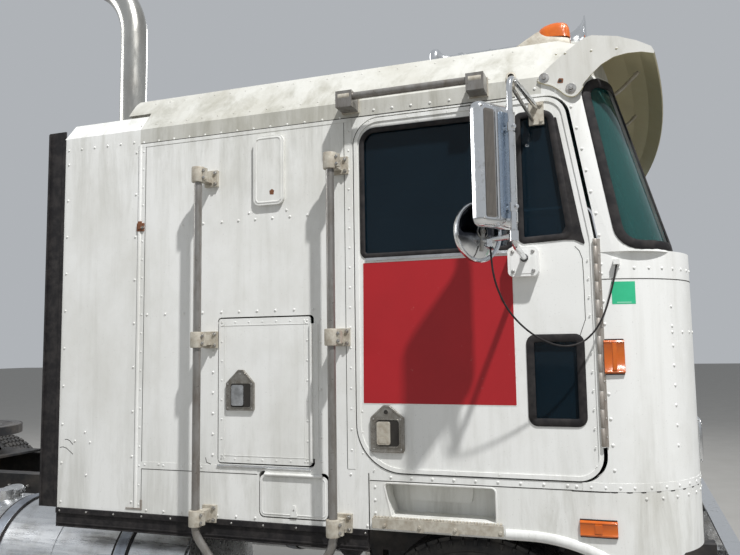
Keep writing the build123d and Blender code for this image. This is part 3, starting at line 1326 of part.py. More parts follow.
def build_front_fittings():
    frame = block((CAB_FRONT_X - 30, CAB_FRONT_X + 12), (-GRILLE_HALF, GRILLE_HALF), GRILLE_Z)
    hole = block((CAB_FRONT_X - 112, FAR_X), (-GRILLE_HALF + 35, GRILLE_HALF - 35), (GRILLE_Z[0] + 35, GRILLE_Z[1] - 35))
    grille = frame - hole
    count = 9
    step = (GRILLE_Z[1] - GRILLE_Z[0] - 70) / count
    for i in range(1, count):
        z = GRILLE_Z[0] + 35 + i * step
        grille += block((CAB_FRONT_X - 25, CAB_FRONT_X), (-GRILLE_HALF + 30, GRILLE_HALF - 30), (z - 8, z + 8))
    for y in (-250, 0, 250):
        grille += block((CAB_FRONT_X - 30, CAB_FRONT_X - 10), (y - 6, y + 6), (GRILLE_Z[0] + 30, GRILLE_Z[1] - 30))
    node("grille", grille)
    lamp = block((CAB_FRONT_X - 60, CAB_FRONT_X + 10), (-LAMP_Y[1], -LAMP_Y[0]), LAMP_Z)
    outline = plan_outline(SHELL_REAR_X, CAB_FRONT_X, CAB_HALF, LOWER_CORNER_R)
    turn_x = (DOOR_FRONT_X + 23, DOOR_FRONT_X + 87)
    turn = block(turn_x, (-CAB_HALF - 12, -CAB_HALF + 12), (1590, 1715)) - plan_sheet(outline, (1500, 1800))
    low_x = (DOOR_FRONT_X - 94, DOOR_FRONT_X + 37)
    low = block(low_x, (-CAB_HALF - 14, -CAB_HALF + 12), (1014, 1074)) - plan_sheet(outline, (900, 1100))
    lamps = both(lamp) + both(turn) + both(low)
    x = DOOR_FRONT_X - 180
    for y in (-ROOF_EDGE_Y + 70, -260, 0, 260, ROOF_EDGE_Y - 70):
        base = roof_height(y)
        profile = [(-130, -25), (112, -60), (112, 92), (0, 96), (0, 76), (-130, 28)]
        wedge = side_sheet(shape([(x + a, base + b) for a, b in profile]), (y - 45, y + 45))
        lamps.append(wedge - roof_solid(0))
    node("lamps", *lamps)
    y, z = -680, HORN_Z
    rear, mouth = DOOR_FRONT_X - 718, DOOR_FRONT_X - 14
    horn = rod_x((rear, rear + 70), y, z, 36) + rod_x((rear + 60, mouth - 150), y, z, 18)
    horn += Plane((mouth, y, z), z_dir=(1, 0, 0)) * Pos(0, 0, -80) * Cone(18, 55, 160)
    for x in (rear + 110, mouth - 170):
        horn += rod_z(x, y, (ROOF_EDGE_Z - 20, z), 12)
    node("air_horn", horn - roof_solid(0))


HORN_Z = 3112.0


def roof_height(y):
    """Height of the roof's skin over a distance from the middle."""
    sag = ROOF_CROWN_Z - ROOF_EDGE_Z
    r = (ROOF_EDGE_Y ** 2 + sag ** 2) / (2 * sag)
    return ROOF_CROWN_Z - r + (r ** 2 - y ** 2) ** 0.5


def build_bars():
    skin = -CAB_HALF
    bars = []
    out = skin - BAR_OUT
    x1, x2 = SIDE_BARS
    low = 940.0
    top = 2470.0
    path = [
        (x1, out, top),
        (x1, out, low),
        (x1 + 190, out + 60, 640),
        (x2 - 190, out + 60, 640),
        (x2, out, low),
        (x2, out, top),
    ]
    rail = tube(path, [110, 80, 80, 110], BAR_R)
    for x in SIDE_BARS:
        for z in (2455, 1742, 1005):
            rail += block((x - 14, x + 38), (skin - 12, skin), (z - 32, z + 32))
            rail += block((x - 14, x + 14), (out - 5, skin - 6), (z - 20, z + 20))
            rail += rod_z(x, out, (z - 26, z + 26), BAR_R + 9)
    bars += both(rail)
    ends = (DOOR_REAR_X - 42, DOOR_FRONT_X - 384)
    z = ROOF_BEND_Z - 3
    grab = tube([(ends[0], skin - 70, z), (ends[1], skin - 70, z)], [], 15)
    for x in (ends[0] + 32, ends[1] - 26):
        grab += block((x - 35, x + 35), (skin - 90, skin), (z - 46, z + 22))
    bars += both(grab)
    node("grab_bars", *bars)


def build_cylinder():
    foot = Vector(CYL_FOOT[0], CYL_Y, CYL_FOOT[1])
    eye = Vector(CYL_EYE[0], CYL_Y, CYL_EYE[1])
    way = (eye - foot).normalized()
    length = (eye - foot).length
    plane = Plane(origin=foot, z_dir=way)
    half = CYL_EYE_W / 2
    barrel = plane * Pos(0, 0, (20 + length - 75) / 2) * Cylinder(CYL_R, length - 95)
    barrel += rod_y(foot.X, (CYL_Y - half, CYL_Y + half), foot.Z, 32)
    bore_end = length - 75
    barrel -= plane * Pos(0, 0, (70 + bore_end + 5) / 2) * Cylinder(CYL_ROD_R + PIN_GAP, bore_end + 5 - 70)
    barrel -= rod_y(foot.X, (CYL_Y - half - 5, CYL_Y + half + 5), foot.Z, CYL_PIN_R + PIN_GAP)
    rod = plane * Pos(0, 0, (80 + length - 10) / 2) * Cylinder(CYL_ROD_R, length - 10 - 80)
    rod += rod_y(eye.X, (CYL_Y - half, CYL_Y + half), eye.Z, 28)
    rod -= rod_y(eye.X, (CYL_Y - half - 5, CYL_Y + half + 5), eye.Z, CYL_PIN_R + 1)
    node("tilt_cylinder", barrel)
    node("tilt_rod", rod)


def build_cable():
    points = [Vector(*p) for p in CABLE_POINTS]
    radii = []
    for before, at, after in zip(points, points[1:], points[2:]):
        run = min((at - before).length, (after - at).length)
        turn = radians((at - before).get_angle(after - at))
        radii.append(0.45 * run / tan(turn / 2))
    print("cable radii", [round(r) for r in radii])
    path = FilletPolyline(*points, radius=radii)
    start = Plane(origin=path @ 0, z_dir=path % 0)
    cable = sweep(start * Circle(CABLE_R), path=path)
    print("cable volume over section times length", cable.volume / (pi * CABLE_R ** 2 * path.length))
    node("mirror_cable", cable)


def main():
    build_frame()
    build_bumper()
    build_front_axle()
    build_knuckles()
    build_wheels()
    build_rear_axles()
    build_suspension()
    build_fifth_wheel()
    build_engine()
    build_tanks()
    build_exhaust()
    build_rear_fittings()
    build_cab_front()
    build_sides()
    build_doors()
    build_mirrors()
    build_luggage()
    build_roof()
    build_floor()
    build_seats()
    build_fenders()
    build_skirts()
    build_visor()
    build_front_fittings()
    build_bars()
    build_cylinder()
    build_cable()
    os.makedirs("parts", exist_ok=True)
    for name, solids in NODES.items():
        pieces = []
        for solid in solids:
            pieces += solid.solids()
        export_step(Compound(pieces), f"parts/{name}.step")
    print(len(NODES), "nodes")


main()
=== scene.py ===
import bmesh
import bpy
import json
from math import cos, hypot, pi, radians, sin, sqrt, tan
from mathutils import Matrix, Vector

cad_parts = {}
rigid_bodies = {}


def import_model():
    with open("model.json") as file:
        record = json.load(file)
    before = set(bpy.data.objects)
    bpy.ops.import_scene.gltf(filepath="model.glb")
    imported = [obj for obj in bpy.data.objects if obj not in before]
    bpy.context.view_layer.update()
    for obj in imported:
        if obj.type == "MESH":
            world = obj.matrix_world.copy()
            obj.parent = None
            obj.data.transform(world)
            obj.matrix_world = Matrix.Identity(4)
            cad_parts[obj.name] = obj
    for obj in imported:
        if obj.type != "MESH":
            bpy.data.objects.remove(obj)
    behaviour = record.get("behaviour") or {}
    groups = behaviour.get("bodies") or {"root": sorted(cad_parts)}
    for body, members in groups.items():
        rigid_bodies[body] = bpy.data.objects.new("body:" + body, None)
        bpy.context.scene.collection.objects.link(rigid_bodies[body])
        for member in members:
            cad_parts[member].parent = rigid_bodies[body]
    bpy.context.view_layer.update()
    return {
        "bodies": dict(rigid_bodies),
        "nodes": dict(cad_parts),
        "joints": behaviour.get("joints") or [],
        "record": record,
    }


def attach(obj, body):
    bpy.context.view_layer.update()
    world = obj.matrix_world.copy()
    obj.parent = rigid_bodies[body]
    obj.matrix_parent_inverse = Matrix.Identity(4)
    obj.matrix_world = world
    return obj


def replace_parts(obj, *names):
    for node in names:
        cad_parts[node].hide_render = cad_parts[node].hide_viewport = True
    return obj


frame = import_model()
NODES = frame["nodes"]
SCENE = bpy.context.scene
MM = 0.001

# Camera as the photograph has it
CAM = Vector((2.855, -3.95, 1.70))
CAM_TURN, CAM_PITCH, CAM_ROLL = 19.15, 5.5, 0.85
CAM_F = 724.0


def aim_camera():
    t, p, r = radians(CAM_TURN), radians(CAM_PITCH), radians(CAM_ROLL)
    look = Vector((-sin(t) * cos(p), cos(t) * cos(p), sin(p)))
    right = look.cross(Vector((0, 0, 1))).normalized()
    up = right.cross(look)
    side = right * cos(r) - up * sin(r)
    top = up * cos(r) + right * sin(r)
    data = bpy.data.cameras.new("camera")
    data.sensor_width = 36.0
    data.lens = 36.0 * CAM_F / 740.0
    data.clip_end = 200.0
    camera = bpy.data.objects.new("camera", data)
    SCENE.collection.objects.link(camera)
    camera.matrix_world = Matrix((
        (side.x, top.x, -look.x, CAM.x),
        (side.y, top.y, -look.y, CAM.y),
        (side.z, top.z, -look.z, CAM.z),
        (0, 0, 0, 1),
    ))
    SCENE.camera = camera


class Paint:
    """One node-based material, built up step by step."""

    def __init__(self, name, rough=0.5, metal=0.0, **sockets):
        self.mat = bpy.data.materials.new(name)
        self.mat.use_nodes = True
        self.tree = self.mat.node_tree
        self.shader = self.tree.nodes["Principled BSDF"]
        self.set("Roughness", rough)
        self.set("Metallic", metal)
        for key, value in sockets.items():
            self.set(key.replace("_", " "), value)
        self.space = self.add("ShaderNodeTexCoord").outputs["Object"]

    def add(self, kind, **inputs):
        node = self.tree.nodes.new(kind)
        for key, value in inputs.items():
            node.inputs[key.replace("_", " ")].default_value = value
        return node

    def link(self, a, b):
        self.tree.links.new(a, b)

    def set(self, socket, value):
        self.shader.inputs[socket].default_value = value

    def noise(self, scale, detail=4.0, rough=0.55, stretch=(1, 1, 1), warp=0.0):
        mapping = self.add("ShaderNodeMapping")
        mapping.inputs["Scale"].default_value = stretch
        self.link(self.space, mapping.inputs["Vector"])
        texture = self.add("ShaderNodeTexNoise", Scale=scale, Detail=detail, Roughness=rough, Distortion=warp)
        self.link(mapping.outputs[0], texture.inputs["Vector"])
        return texture.outputs["Fac"]

    def field(self, scale, detail, rough=0.55, low=None, high=None, start=0.0, end=1.0, stretch=(1, 1, 1)):
        """A noise, or where low and high are given, what it maps to between start and end."""
        value = self.noise(scale, detail, rough, stretch)
        return value if low is None else self.ramp(value, low, high, start, end)

    def cells(self, scale):
        texture = self.add("ShaderNodeTexVoronoi", Scale=scale)
        self.link(self.space, texture.inputs["Vector"])
        return texture.outputs["Distance"]

    def waves(self, scale, direction="Z"):
        texture = self.add("ShaderNodeTexWave", Scale=scale)
        texture.bands_direction = direction
        self.link(self.space, texture.inputs["Vector"])
        return texture.outputs["Fac"]

    def height(self):
        split = self.add("ShaderNodeSeparateXYZ")
        self.link(self.space, split.inputs[0])
        return split.outputs["Z"]

    def ramp(self, value, low, high, start=0.0, end=1.0):
        node = self.add("ShaderNodeMapRange")
        self.link(value, node.inputs["Value"])
        node.inputs["From Min"].default_value = low
        node.inputs["From Max"].default_value = high
        node.inputs["To Min"].default_value = start
        node.inputs["To Max"].default_value = end
        return node.outputs[0]

    def maths(self, kind, a, b):
        node = self.add("ShaderNodeMath")
        node.operation = kind
        for i, value in enumerate((a, b)):
            if isinstance(value, (int, float)):
                node.inputs[i].default_value = value
            else:
                self.link(value, node.inputs[i])
        return node.outputs[0]

    def blend(self, first, second, amount):
        node = self.add("ShaderNodeMix")
        node.data_type = "RGBA"
        for i, value in ((6, first), (7, second)):
            if isinstance(value, tuple):
                node.inputs[i].default_value = (*value, 1)
            else:
                self.link(value, node.inputs[i])
        self.link(amount, node.inputs[0])
        return node.outputs[2]

    def colour(self, value):
        if isinstance(value, tuple):
            self.shader.inputs["Base Color"].default_value = (*value, 1)
        else:
            self.link(value, self.shader.inputs["Base Color"])

    def roughness(self, value):
        self.link(value, self.shader.inputs["Roughness"])

    def bump(self, value, depth=0.001, strength=1.0):
        node = self.add("ShaderNodeBump", Strength=strength, Distance=depth)
        self.link(value, node.inputs["Height"])
        if self.shader.inputs["Normal"].is_linked:
            self.link(self.shader.inputs["Normal"].links[0].from_socket, node.inputs["Normal"])
        self.link(node.outputs[0], self.shader.inputs["Normal"])


MATS = {}


def paint_white(name, base, grime, amount, rough=0.42, under=None):
    """Old enamel: chalky base, soft blotches, vertical run marks, stains by height and small dark specks."""
    p = Paint(name, rough)
    blotch = p.ramp(p.noise(1.9, 6, 0.66, (1, 1, 0.6)), 0.46, 0.74)
    runs = p.ramp(p.noise(9.0, 5, 0.62, (1.6, 1.6, 0.09)), 0.50, 0.80)
    c = p.blend(base, grime, p.maths("MULTIPLY", blotch, 0.6 * amount))
    c = p.blend(c, tuple(x * 0.82 for x in grime), p.maths("MULTIPLY", runs, 0.38 * amount))
    z = p.height()
    high = p.maths("MULTIPLY", p.ramp(z, 2.15, 2.6), p.ramp(z, 2.94, 2.84))
    low = p.maths("MULTIPLY", p.ramp(z, 1.5, 1.15), 0.8)
    where = p.maths("MAXIMUM", high, low)
    streaks = p.ramp(p.noise(5.5, 7, 0.72, (1.5, 1.5, 0.22), 0.4), 0.46, 0.66)
    stain = p.maths("MULTIPLY", p.maths("MULTIPLY", streaks, where), 0.55 * amount)
    c = p.blend(c, (grime[0] * 0.72, grime[1] * 0.73, grime[2] * 0.72), stain)
    if under:
        split = p.add("ShaderNodeSeparateXYZ")
        p.link(p.tree.nodes["Texture Coordinate"].outputs["Normal"], split.inputs[0])
        c = p.blend(c, under, p.ramp(split.outputs["Z"], -0.1, -0.3))
    specks = p.ramp(p.noise(140.0, 3, 0.7), 0.64, 0.76)
    c = p.blend(c, tuple(x * 0.4 for x in grime), p.maths("MULTIPLY", specks, 0.5 * amount))
    p.colour(c)
    p.roughness(p.ramp(p.noise(12.0, 4), 0.3, 0.8, rough - 0.08, rough + 0.2))
    p.bump(p.noise(2.4, 3, 0.5), 0.004, 0.35)
    p.bump(p.noise(240.0, 2, 0.5), 0.0002, 0.5)
    MATS[name] = p.mat


def plain(name, rough, metal, first, second, mix, gloss=None, grain=None, **sockets):
    """Two colours mixed by a noise; gloss varies the roughness, grain is a fine texture on the surface."""
    p = Paint(name, rough, metal, **sockets)
    p.colour(p.blend(first, second, p.field(*mix)))
    if gloss:
        p.roughness(p.field(*gloss))
    if grain:
        kind, numbers, depth, strength = grain
        texture = {"noise": p.noise, "cells": p.cells, "waves": p.waves}[kind]
        p.bump(texture(*numbers), depth, strength)
    MATS[name] = p.mat


def make_paints():
    paint_white("white_side", (0.80, 0.80, 0.775), (0.47, 0.455, 0.39), 0.8)
    paint_white("white_roof", (0.56, 0.555, 0.515), (0.34, 0.32, 0.25), 1.0, 0.5)
    paint_white("white_visor", (0.64, 0.635, 0.60), (0.40, 0.375, 0.30), 0.8, 0.5, (0.56, 0.50, 0.31))
    paint_white("white_low", (0.76, 0.76, 0.73), (0.43, 0.405, 0.33), 0.9)
    plain("chassis", 0.6, 0.0, (0.025, 0.025, 0.027), (0.15, 0.125, 0.10), (6.0, 6, 0.65, 0.42, 0.72, 0, 0.6),
          (20.0, 4, 0.55, 0.3, 0.8, 0.5, 0.85), ("noise", (180.0, 3), 0.0004, 0.6))
    plain("engine", 0.5, 0.0, (0.12, 0.13, 0.14), (0.035, 0.03, 0.026), (7.0, 6, 0.65, 0.45, 0.7),
          (7.0, 6, 0.65, 0.45, 0.7, 0.55, 0.3), ("noise", (120.0, 3), 0.0006, 0.6))
    plain("rust", 0.85, 0.0, (0.26, 0.10, 0.04), (0.09, 0.035, 0.018), (60.0, 6, 0.7), None,
          ("noise", (200.0, 4), 0.0008, 0.8))
    plain("sign_white", 0.5, 0.0, (0.80, 0.79, 0.76), (0.55, 0.52, 0.47), (40.0, 6, 0.7, 0.5, 0.8))
    plain("green_square", 0.45, 0.0, (0.02, 0.42, 0.20), (0.04, 0.50, 0.26), (40.0, 4))
    plain("green_pale", 0.45, 0.0, (0.30, 0.66, 0.48), (0.22, 0.58, 0.40), (40.0, 4))
    plain("dark_gap_and_shade", 0.9, 0.0, (0.012, 0.011, 0.010), (0.035, 0.03, 0.025), (50.0, 4))
    plain("grease", 0.35, 0.0, (0.02, 0.018, 0.016), (0.07, 0.055, 0.04), (30.0, 6), None,
          ("noise", (60.0, 5, 0.7), 0.002, 0.8))
    p = Paint("sign_red", 0.5)
    red = p.blend((0.42, 0.007, 0.013), (0.31, 0.006, 0.010), p.noise(4.0, 5))
    p.colour(p.blend(red, (0.50, 0.28, 0.26), p.field(22.0, 8, 0.75, 0.64, 0.7, 0, 0.4)))
    MATS["sign_red"] = p.mat


def make_metals():
    plain("chrome", 0.14, 1.0, (0.80, 0.81, 0.82), (0.42, 0.38, 0.32), (26.0, 6, 0.7, 0.56, 0.85),
          (40.0, 5, 0.6, 0.35, 0.8, 0.09, 0.34), ("noise", (9.0, 3), 0.0008, 0.2))
    plain("stack", 0.2, 1.0, (0.62, 0.61, 0.57), (0.28, 0.25, 0.21),
          (5.0, 5, 0.6, 0.4, 0.75, 0, 1, (1, 1, 0.3)), (30.0, 5, 0.6, 0.3, 0.8, 0.16, 0.42, (1, 1, 0.2)))
    plain("aluminium", 0.3, 1.0, (0.72, 0.73, 0.74), (0.40, 0.39, 0.37), (8.0, 6, 0.65, 0.45, 0.8),
          (60.0, 4, 0.6, 0.3, 0.8, 0.2, 0.45, (0.1, 1, 1)),
          ("noise", (300.0, 2, 0.5, (0.05, 1, 1)), 0.0001, 0.4))
    plain("cast_arm", 0.62, 0.15, (0.50, 0.47, 0.40), (0.26, 0.21, 0.15), (30.0, 6, 0.7, 0.4, 0.75), None,
          ("noise", (260.0, 3), 0.0004, 0.6))
    plain("cast_dark", 0.55, 0.3, (0.045, 0.042, 0.04), (0.11, 0.095, 0.08), (26.0, 6, 0.7, 0.4, 0.8), None,
          ("noise", (200.0, 3), 0.0004, 0.6))
    plain("tube_grey", 0.42, 0.55, (0.27, 0.26, 0.245), (0.15, 0.125, 0.10),
          (22.0, 6, 0.7, 0.42, 0.78, 0, 1, (1, 1, 0.3)), (50.0, 4, 0.55, 0.3, 0.8, 0.26, 0.5))
    plain("steel", 0.35, 1.0, (0.50, 0.49, 0.47), (0.25, 0.18, 0.12), (35.0, 6, 0.7, 0.5, 0.8),
          (50.0, 4, 0.55, 0.3, 0.8, 0.25, 0.6))
    plain("hinge_steel", 0.55, 0.5, (0.40, 0.37, 0.335), (0.20, 0.15, 0.11),
          (30.0, 6, 0.7, 0.46, 0.8, 0, 1, (1, 1, 0.3)), None, ("noise", (220.0, 3), 0.0003, 0.5))
    # blue-grey metal for the mirror's bright back panel: a painted reflection of the sky
    plain("sky_reflection_metal", 0.22, 0.85, (0.42, 0.50, 0.60), (0.34, 0.40, 0.48), (12.0, 5, 0.55, 0.4, 0.8),
          (40.0, 4, 0.55, 0.3, 0.8, 0.15, 0.35))
    plain("strap_blue", 0.35, 0.8, (0.34, 0.37, 0.42), (0.20, 0.20, 0.21), (24.0, 6, 0.7, 0.42, 0.8),
          (50.0, 4, 0.55, 0.3, 0.8, 0.25, 0.5))
    plain("gunmetal", 0.34, 0.75, (0.34, 0.325, 0.295), (0.17, 0.145, 0.115), (34.0, 6, 0.7, 0.4, 0.75),
          (60.0, 4, 0.55, 0.3, 0.8, 0.22, 0.48))
    plain("mirror_glass", 0.03, 1.0, (0.72, 0.75, 0.78), (0.55, 0.57, 0.58), (14.0, 6, 0.7, 0.5, 0.85))
    # painted reflection: the convex mirror's back is painted dark above and bright below, as if it mirrored
    # the ground
    p = Paint("disc_back_painted_reflection", 0.12, 1.0)
    height = p.maths("ADD", p.height(), p.field(30.0, 5, 0.55, 0.3, 0.8, 0.0, 0.03))
    p.colour(p.blend((0.035, 0.037, 0.045), (0.74, 0.75, 0.76), p.ramp(height, 2.10, 2.05)))
    p.bump(p.noise(20.0, 3), 0.001, 0.25)
    MATS["disc_back_painted_reflection"] = p.mat


def make_softs():
    plain("rubber", 0.7, 0.0, (0.012, 0.011, 0.012), (0.045, 0.040, 0.038), (25.0, 5, 0.65, 0.4, 0.8), None,
          ("noise", (400.0, 2), 0.0002, 0.5), Specular_IOR_Level=0.25)
    plain("tyre", 0.78, 0.0, (0.014, 0.014, 0.015), (0.085, 0.075, 0.062),
          (14.0, 6, 0.65, 0.4, 0.8, 0, 0.75), None, ("noise", (350.0, 3), 0.0005, 0.6))
    plain("vinyl", 0.6, 0.0, (0.085, 0.078, 0.07), (0.14, 0.125, 0.11), (30.0, 5), None,
          ("cells", (420.0,), 0.0006, 0.5))
    plain("liner", 0.75, 0.0, (0.17, 0.14, 0.11), (0.24, 0.20, 0.16), (12.0, 5), None,
          ("cells", (300.0,), 0.0006, 0.5))
    p = Paint("cloth", 0.9, 0.0, Sheen_Weight=0.35, Sheen_Roughness=0.5)
    weave = p.maths("MULTIPLY", p.waves(260.0, "X"), p.waves(260.0, "Z"))
    stripes = p.blend((0.16, 0.11, 0.08), (0.24, 0.19, 0.14), p.ramp(p.waves(9.0, "Y"), 0.35, 0.65))
    p.colour(p.blend(stripes, (0.06, 0.045, 0.035), p.maths("MULTIPLY", weave, 0.5)))
    p.bump(weave, 0.0008, 0.6)
    MATS["cloth"] = p.mat


def make_clears():
    smears = (18.0, 6, 0.7, 0.35, 0.8, 0.02, 0.14)
    plain("glass", 0.06, 0.0, (0.030, 0.070, 0.105), (0.012, 0.034, 0.055), (3.0, 4), smears,
          Transmission_Weight=0.8, IOR=1.3, Specular_IOR_Level=0.35)
    plain("glass_front", 0.06, 0.0, (0.10, 0.31, 0.29), (0.055, 0.20, 0.20), (3.0, 4), smears,
          Transmission_Weight=0.8, IOR=1.38, Specular_IOR_Level=0.4)
    ribs = ("waves", (120.0, "Z"), 0.0008, 0.5)
    plain("amber", 0.16, 0.0, (0.66, 0.15, 0.010), (0.50, 0.085, 0.006), (30.0, 4), None, ribs,
          Coat_Weight=0.5, Coat_Roughness=0.1)
    plain("red_lens", 0.16, 0.0, (0.55, 0.015, 0.012), (0.38, 0.008, 0.008), (30.0, 4), None, ribs,
          Coat_Weight=0.5, Coat_Roughness=0.1)
    plain("lamp_glass", 0.05, 0.0, (0.85, 0.87, 0.88), (0.70, 0.72, 0.72), (20.0, 4), None,
          ("waves", (90.0, "Y"), 0.001, 0.6), Transmission_Weight=0.7, IOR=1.45, Coat_Weight=0.4)


CAD_LOOKS = {
    "white_side": "cab_sides door_right door_left luggage_door_right luggage_door_left side_flap cab_front",
    "white_roof": "cab_roof cab_back",
    "white_visor": "sun_visor",
    "white_low": "fenders",
    "chassis": "frame_rails front_axle rear_axles suspension fifth_wheel_base fifth_wheel_plate driveline"
               " knuckle_left knuckle_right tilt_cylinder radiator",
    "engine": "engine_block",
    "chrome": "front_bumper mirror_right mirror_left grille air_horn",
    "stack": "exhaust_stack",
    "aluminium": "fuel_tanks deck_plate step_plates front_rim_left front_rim_right",
    "tube_grey": "grab_bars",
    "steel": "tie_rod tilt_rod",
    "tyre": "front_tyre_left front_tyre_right drive_front_tyre_left drive_front_tyre_right"
            " drive_rear_tyre_left drive_rear_tyre_right",
    "rubber": "rubber_skirts mud_flaps mirror_cable",
    "glass": "door_glass_right door_glass_left",
    "glass_front": "windscreens",
    "liner": "cab_floor",
    "vinyl": "dashboard steering_wheel",
    "cloth": "seats",
    "amber": "lamps",
    "red_lens": "tail_lamps",
}
CAD_LOOKS["white_low"] += "".join(f" drive_{a}_rim_{b}" for a in ("front", "rear") for b in ("left", "right"))


def dress_cad():
    for look, names in CAD_LOOKS.items():
        for name in names.split():
            data = NODES[name].data
            data.materials.clear()
            data.materials.append(MATS[look])


def lamp(name, place, target, size, watts):
    data = bpy.data.lights.new(name, "AREA")
    data.shape = "RECTANGLE"
    data.size, data.size_y = size
    data.energy = watts
    light = bpy.data.objects.new(name, data)
    light.location = place
    light.rotation_euler = (Vector(target) - Vector(place)).to_track_quat("-Z", "Y").to_euler()
    SCENE.collection.objects.link(light)


def make_stage():
    mesh = bpy.data.meshes.new("floor")
    s = 60.0
    mesh.from_pydata([(-s, -s, 0), (s, -s, 0), (s, s, 0), (-s, s, 0)], [], [(0, 1, 2, 3)])
    floor = bpy.data.objects.new("floor", mesh)
    SCENE.collection.objects.link(floor)
    p = Paint("floor_paint", 0.9)
    p.colour(p.blend((0.30, 0.29, 0.27), (0.36, 0.35, 0.33), p.noise(3.0, 4)))
    mesh.materials.append(p.mat)
    world = bpy.data.worlds.new("world")
    SCENE.world = world
    world.use_nodes = True
    back = world.node_tree.nodes["Background"]
    back.inputs["Color"].default_value = (0.86, 0.90, 0.95, 1)
    back.inputs["Strength"].default_value = 0.5
    lamp("sun_side", (6.0, -5.1, 10.9), (1.3, -1.2, 1.7), (0.3, 0.3), 1560)
    lamp("left_fill", (-2.0, 9.0, 6.0), (0, 0, 1.5), (5, 4), 420)
    lamp("rear_fill", (-9.0, -3.0, 5.0), (-1, 0, 1.2), (4, 4), 260)
    SCENE.view_settings.view_transform = "Standard"


class Kit:
    """Gathers the small faces of one piece, in millimetres of the shared frame."""

    def __init__(self, name, body, look, slot=None, sharp=38.0, bevel=0.0):
        self.name, self.body, self.slot = name, body, slot
        self.looks = [look]
        self.look = 0
        self.sharp, self.bevel = sharp, bevel
        self.verts, self.faces, self.slots = [], [], []

    def use(self, look):
        if look not in self.looks:
            self.looks.append(look)
        self.look = self.looks.index(look)
        return self

    def add(self, verts, faces):
        base = len(self.verts)
        self.verts += [Vector(v) for v in verts]
        self.faces += [tuple(base + i for i in f) for f in faces]
        self.slots += [self.look] * len(faces)

    def box(self, x, y, z, turn=None, about=(0, 0, 0)):
        verts = [Vector((a, b, c)) for a in x for b in y for c in z]
        if turn:
            about = Vector(about)
            verts = [turn @ (v - about) + about for v in verts]
        self.add(verts, [(0, 1, 3, 2), (4, 6, 7, 5), (0, 4, 5, 1), (2, 3, 7, 6), (0, 2, 6, 4), (1, 5, 7, 3)])

    def ring(self, centre, a, b, r, n, spin=0.0):
        return [centre + a * (r * cos(2 * pi * i / n + spin)) + b * (r * sin(2 * pi * i / n + spin))
                for i in range(n)]

    def lathe(self, profile, origin, axis, n=32, spin=0.0):
        """Turns a profile of (radius, distance along the axis) points; it closes where the radius is 0."""
        axis = Vector(axis).normalized()
        a = axis.orthogonal().normalized()
        b = axis.cross(a)
        origin = Vector(origin)
        rows, verts = [], []
        for r, d in profile:
            centre = origin + axis * d
            if r <= 1e-6:
                rows.append([len(verts)])
                verts.append(centre)
            else:
                rows.append(list(range(len(verts), len(verts) + n)))
                verts += self.ring(centre, a, b, r, n, spin)
        faces = []
        for low, high in zip(rows, rows[1:]):
            for i in range(n):
                j = (i + 1) % n
                if len(low) == 1 and len(high) == 1:
                    continue
                if len(low) == 1:
                    faces.append((low[0], high[j], high[i]))
                elif len(high) == 1:
                    faces.append((low[i], low[j], high[0]))
                else:
                    faces.append((low[i], low[j], high[j], high[i]))
        self.add(verts, faces)

    def rod(self, a, b, r, n=12, edge=0.0):
        """A round bar between two points, with chamfered ends."""
        a, b = Vector(a), Vector(b)
        length = (b - a).length
        e = edge or min(r * 0.15, length * 0.2)
        self.lathe([(0, 0), (r - e, 0), (r, e), (r, length - e), (r - e, length), (0, length)], a, b - a, n)

    def dome(self, at, out, r=5.5, h=2.6, n=8):
        self.lathe([(r, -0.5), (r * 0.95, h * 0.45), (r * 0.6, h * 0.88), (0, h)], at, out, n)

    def studs(self, places, lift, r, h):
        """Rivets at (forward, up) places of the right-hand skin, that far out from it."""
        for u, v in places:
            self.dome(place_right(u, v, lift), RIGHT, r, h)

    def nut(self, at, out, r, h, n=6, spin=0.0):
        """A bolt head: six sides, a chamfered top and a washer under it."""
        self.lathe([(r * 1.25, 0), (r * 1.25, h * 0.14), (r * 0.98, h * 0.15)], at, out, 12)
        self.lathe([(r, h * 0.1), (r, h * 0.85), (r * 0.84, h), (0, h)], at, out, n, spin)

    def tube(self, points, r, n=10, closed=False, smooth=4):
        """A round tube along a smoothed line of points."""
        pts = soften([Vector(p) for p in points], smooth, closed) if smooth else [Vector(p) for p in points]
        frames = carry(pts, closed)
        rows, verts = [], []
        for p, a, b in frames:
            rows.append(list(range(len(verts), len(verts) + n)))
            verts += self.ring(p, a, b, r, n)
        faces = []
        pairs = list(zip(rows, rows[1:])) + ([(rows[-1], rows[0])] if closed else [])
        for low, high in pairs:
            faces += [(low[i], low[(i + 1) % n], high[(i + 1) % n], high[i]) for i in range(n)]
        if not closed:
            faces += [tuple(reversed(rows[0])), tuple(rows[-1])]
        self.add(verts, faces)

    def strip(self, points, out, profile, closed=True):
        """Sweeps a profile of (across, up) points along a line; up is the out direction at each point."""
        pts = [Vector(p) for p in points]
        outs = [Vector(o).normalized() for o in (out if isinstance(out, list) else [out] * len(pts))]
        rows, verts = [], []
        m = len(pts)
        for i, p in enumerate(pts):
            before = pts[i - 1] if i or closed else p
            after = pts[(i + 1) % m] if i < m - 1 or closed else p
            t1 = (p - before).normalized() if (p - before).length > 1e-6 else (after - p).normalized()
            t2 = (after - p).normalized() if (after - p).length > 1e-6 else t1
            along = (t1 + t2).normalized()
            up = outs[i]
            across = along.cross(up).normalized()
            miter = 1.0 / max(0.5, across.dot(t1.cross(up).normalized()))
            rows.append(list(range(len(verts), len(verts) + len(profile))))
            verts += [p + across * (u * miter) + up * v for u, v in profile]
        k = len(profile)
        faces = []
        pairs = list(zip(rows, rows[1:])) + ([(rows[-1], rows[0])] if closed else [])
        for low, high in pairs:
            faces += [(low[j], high[j], high[(j + 1) % k], low[(j + 1) % k]) for j in range(k)]
        if not closed:
            faces += [tuple(rows[0]), tuple(reversed(rows[-1]))]
        self.add(verts, faces)

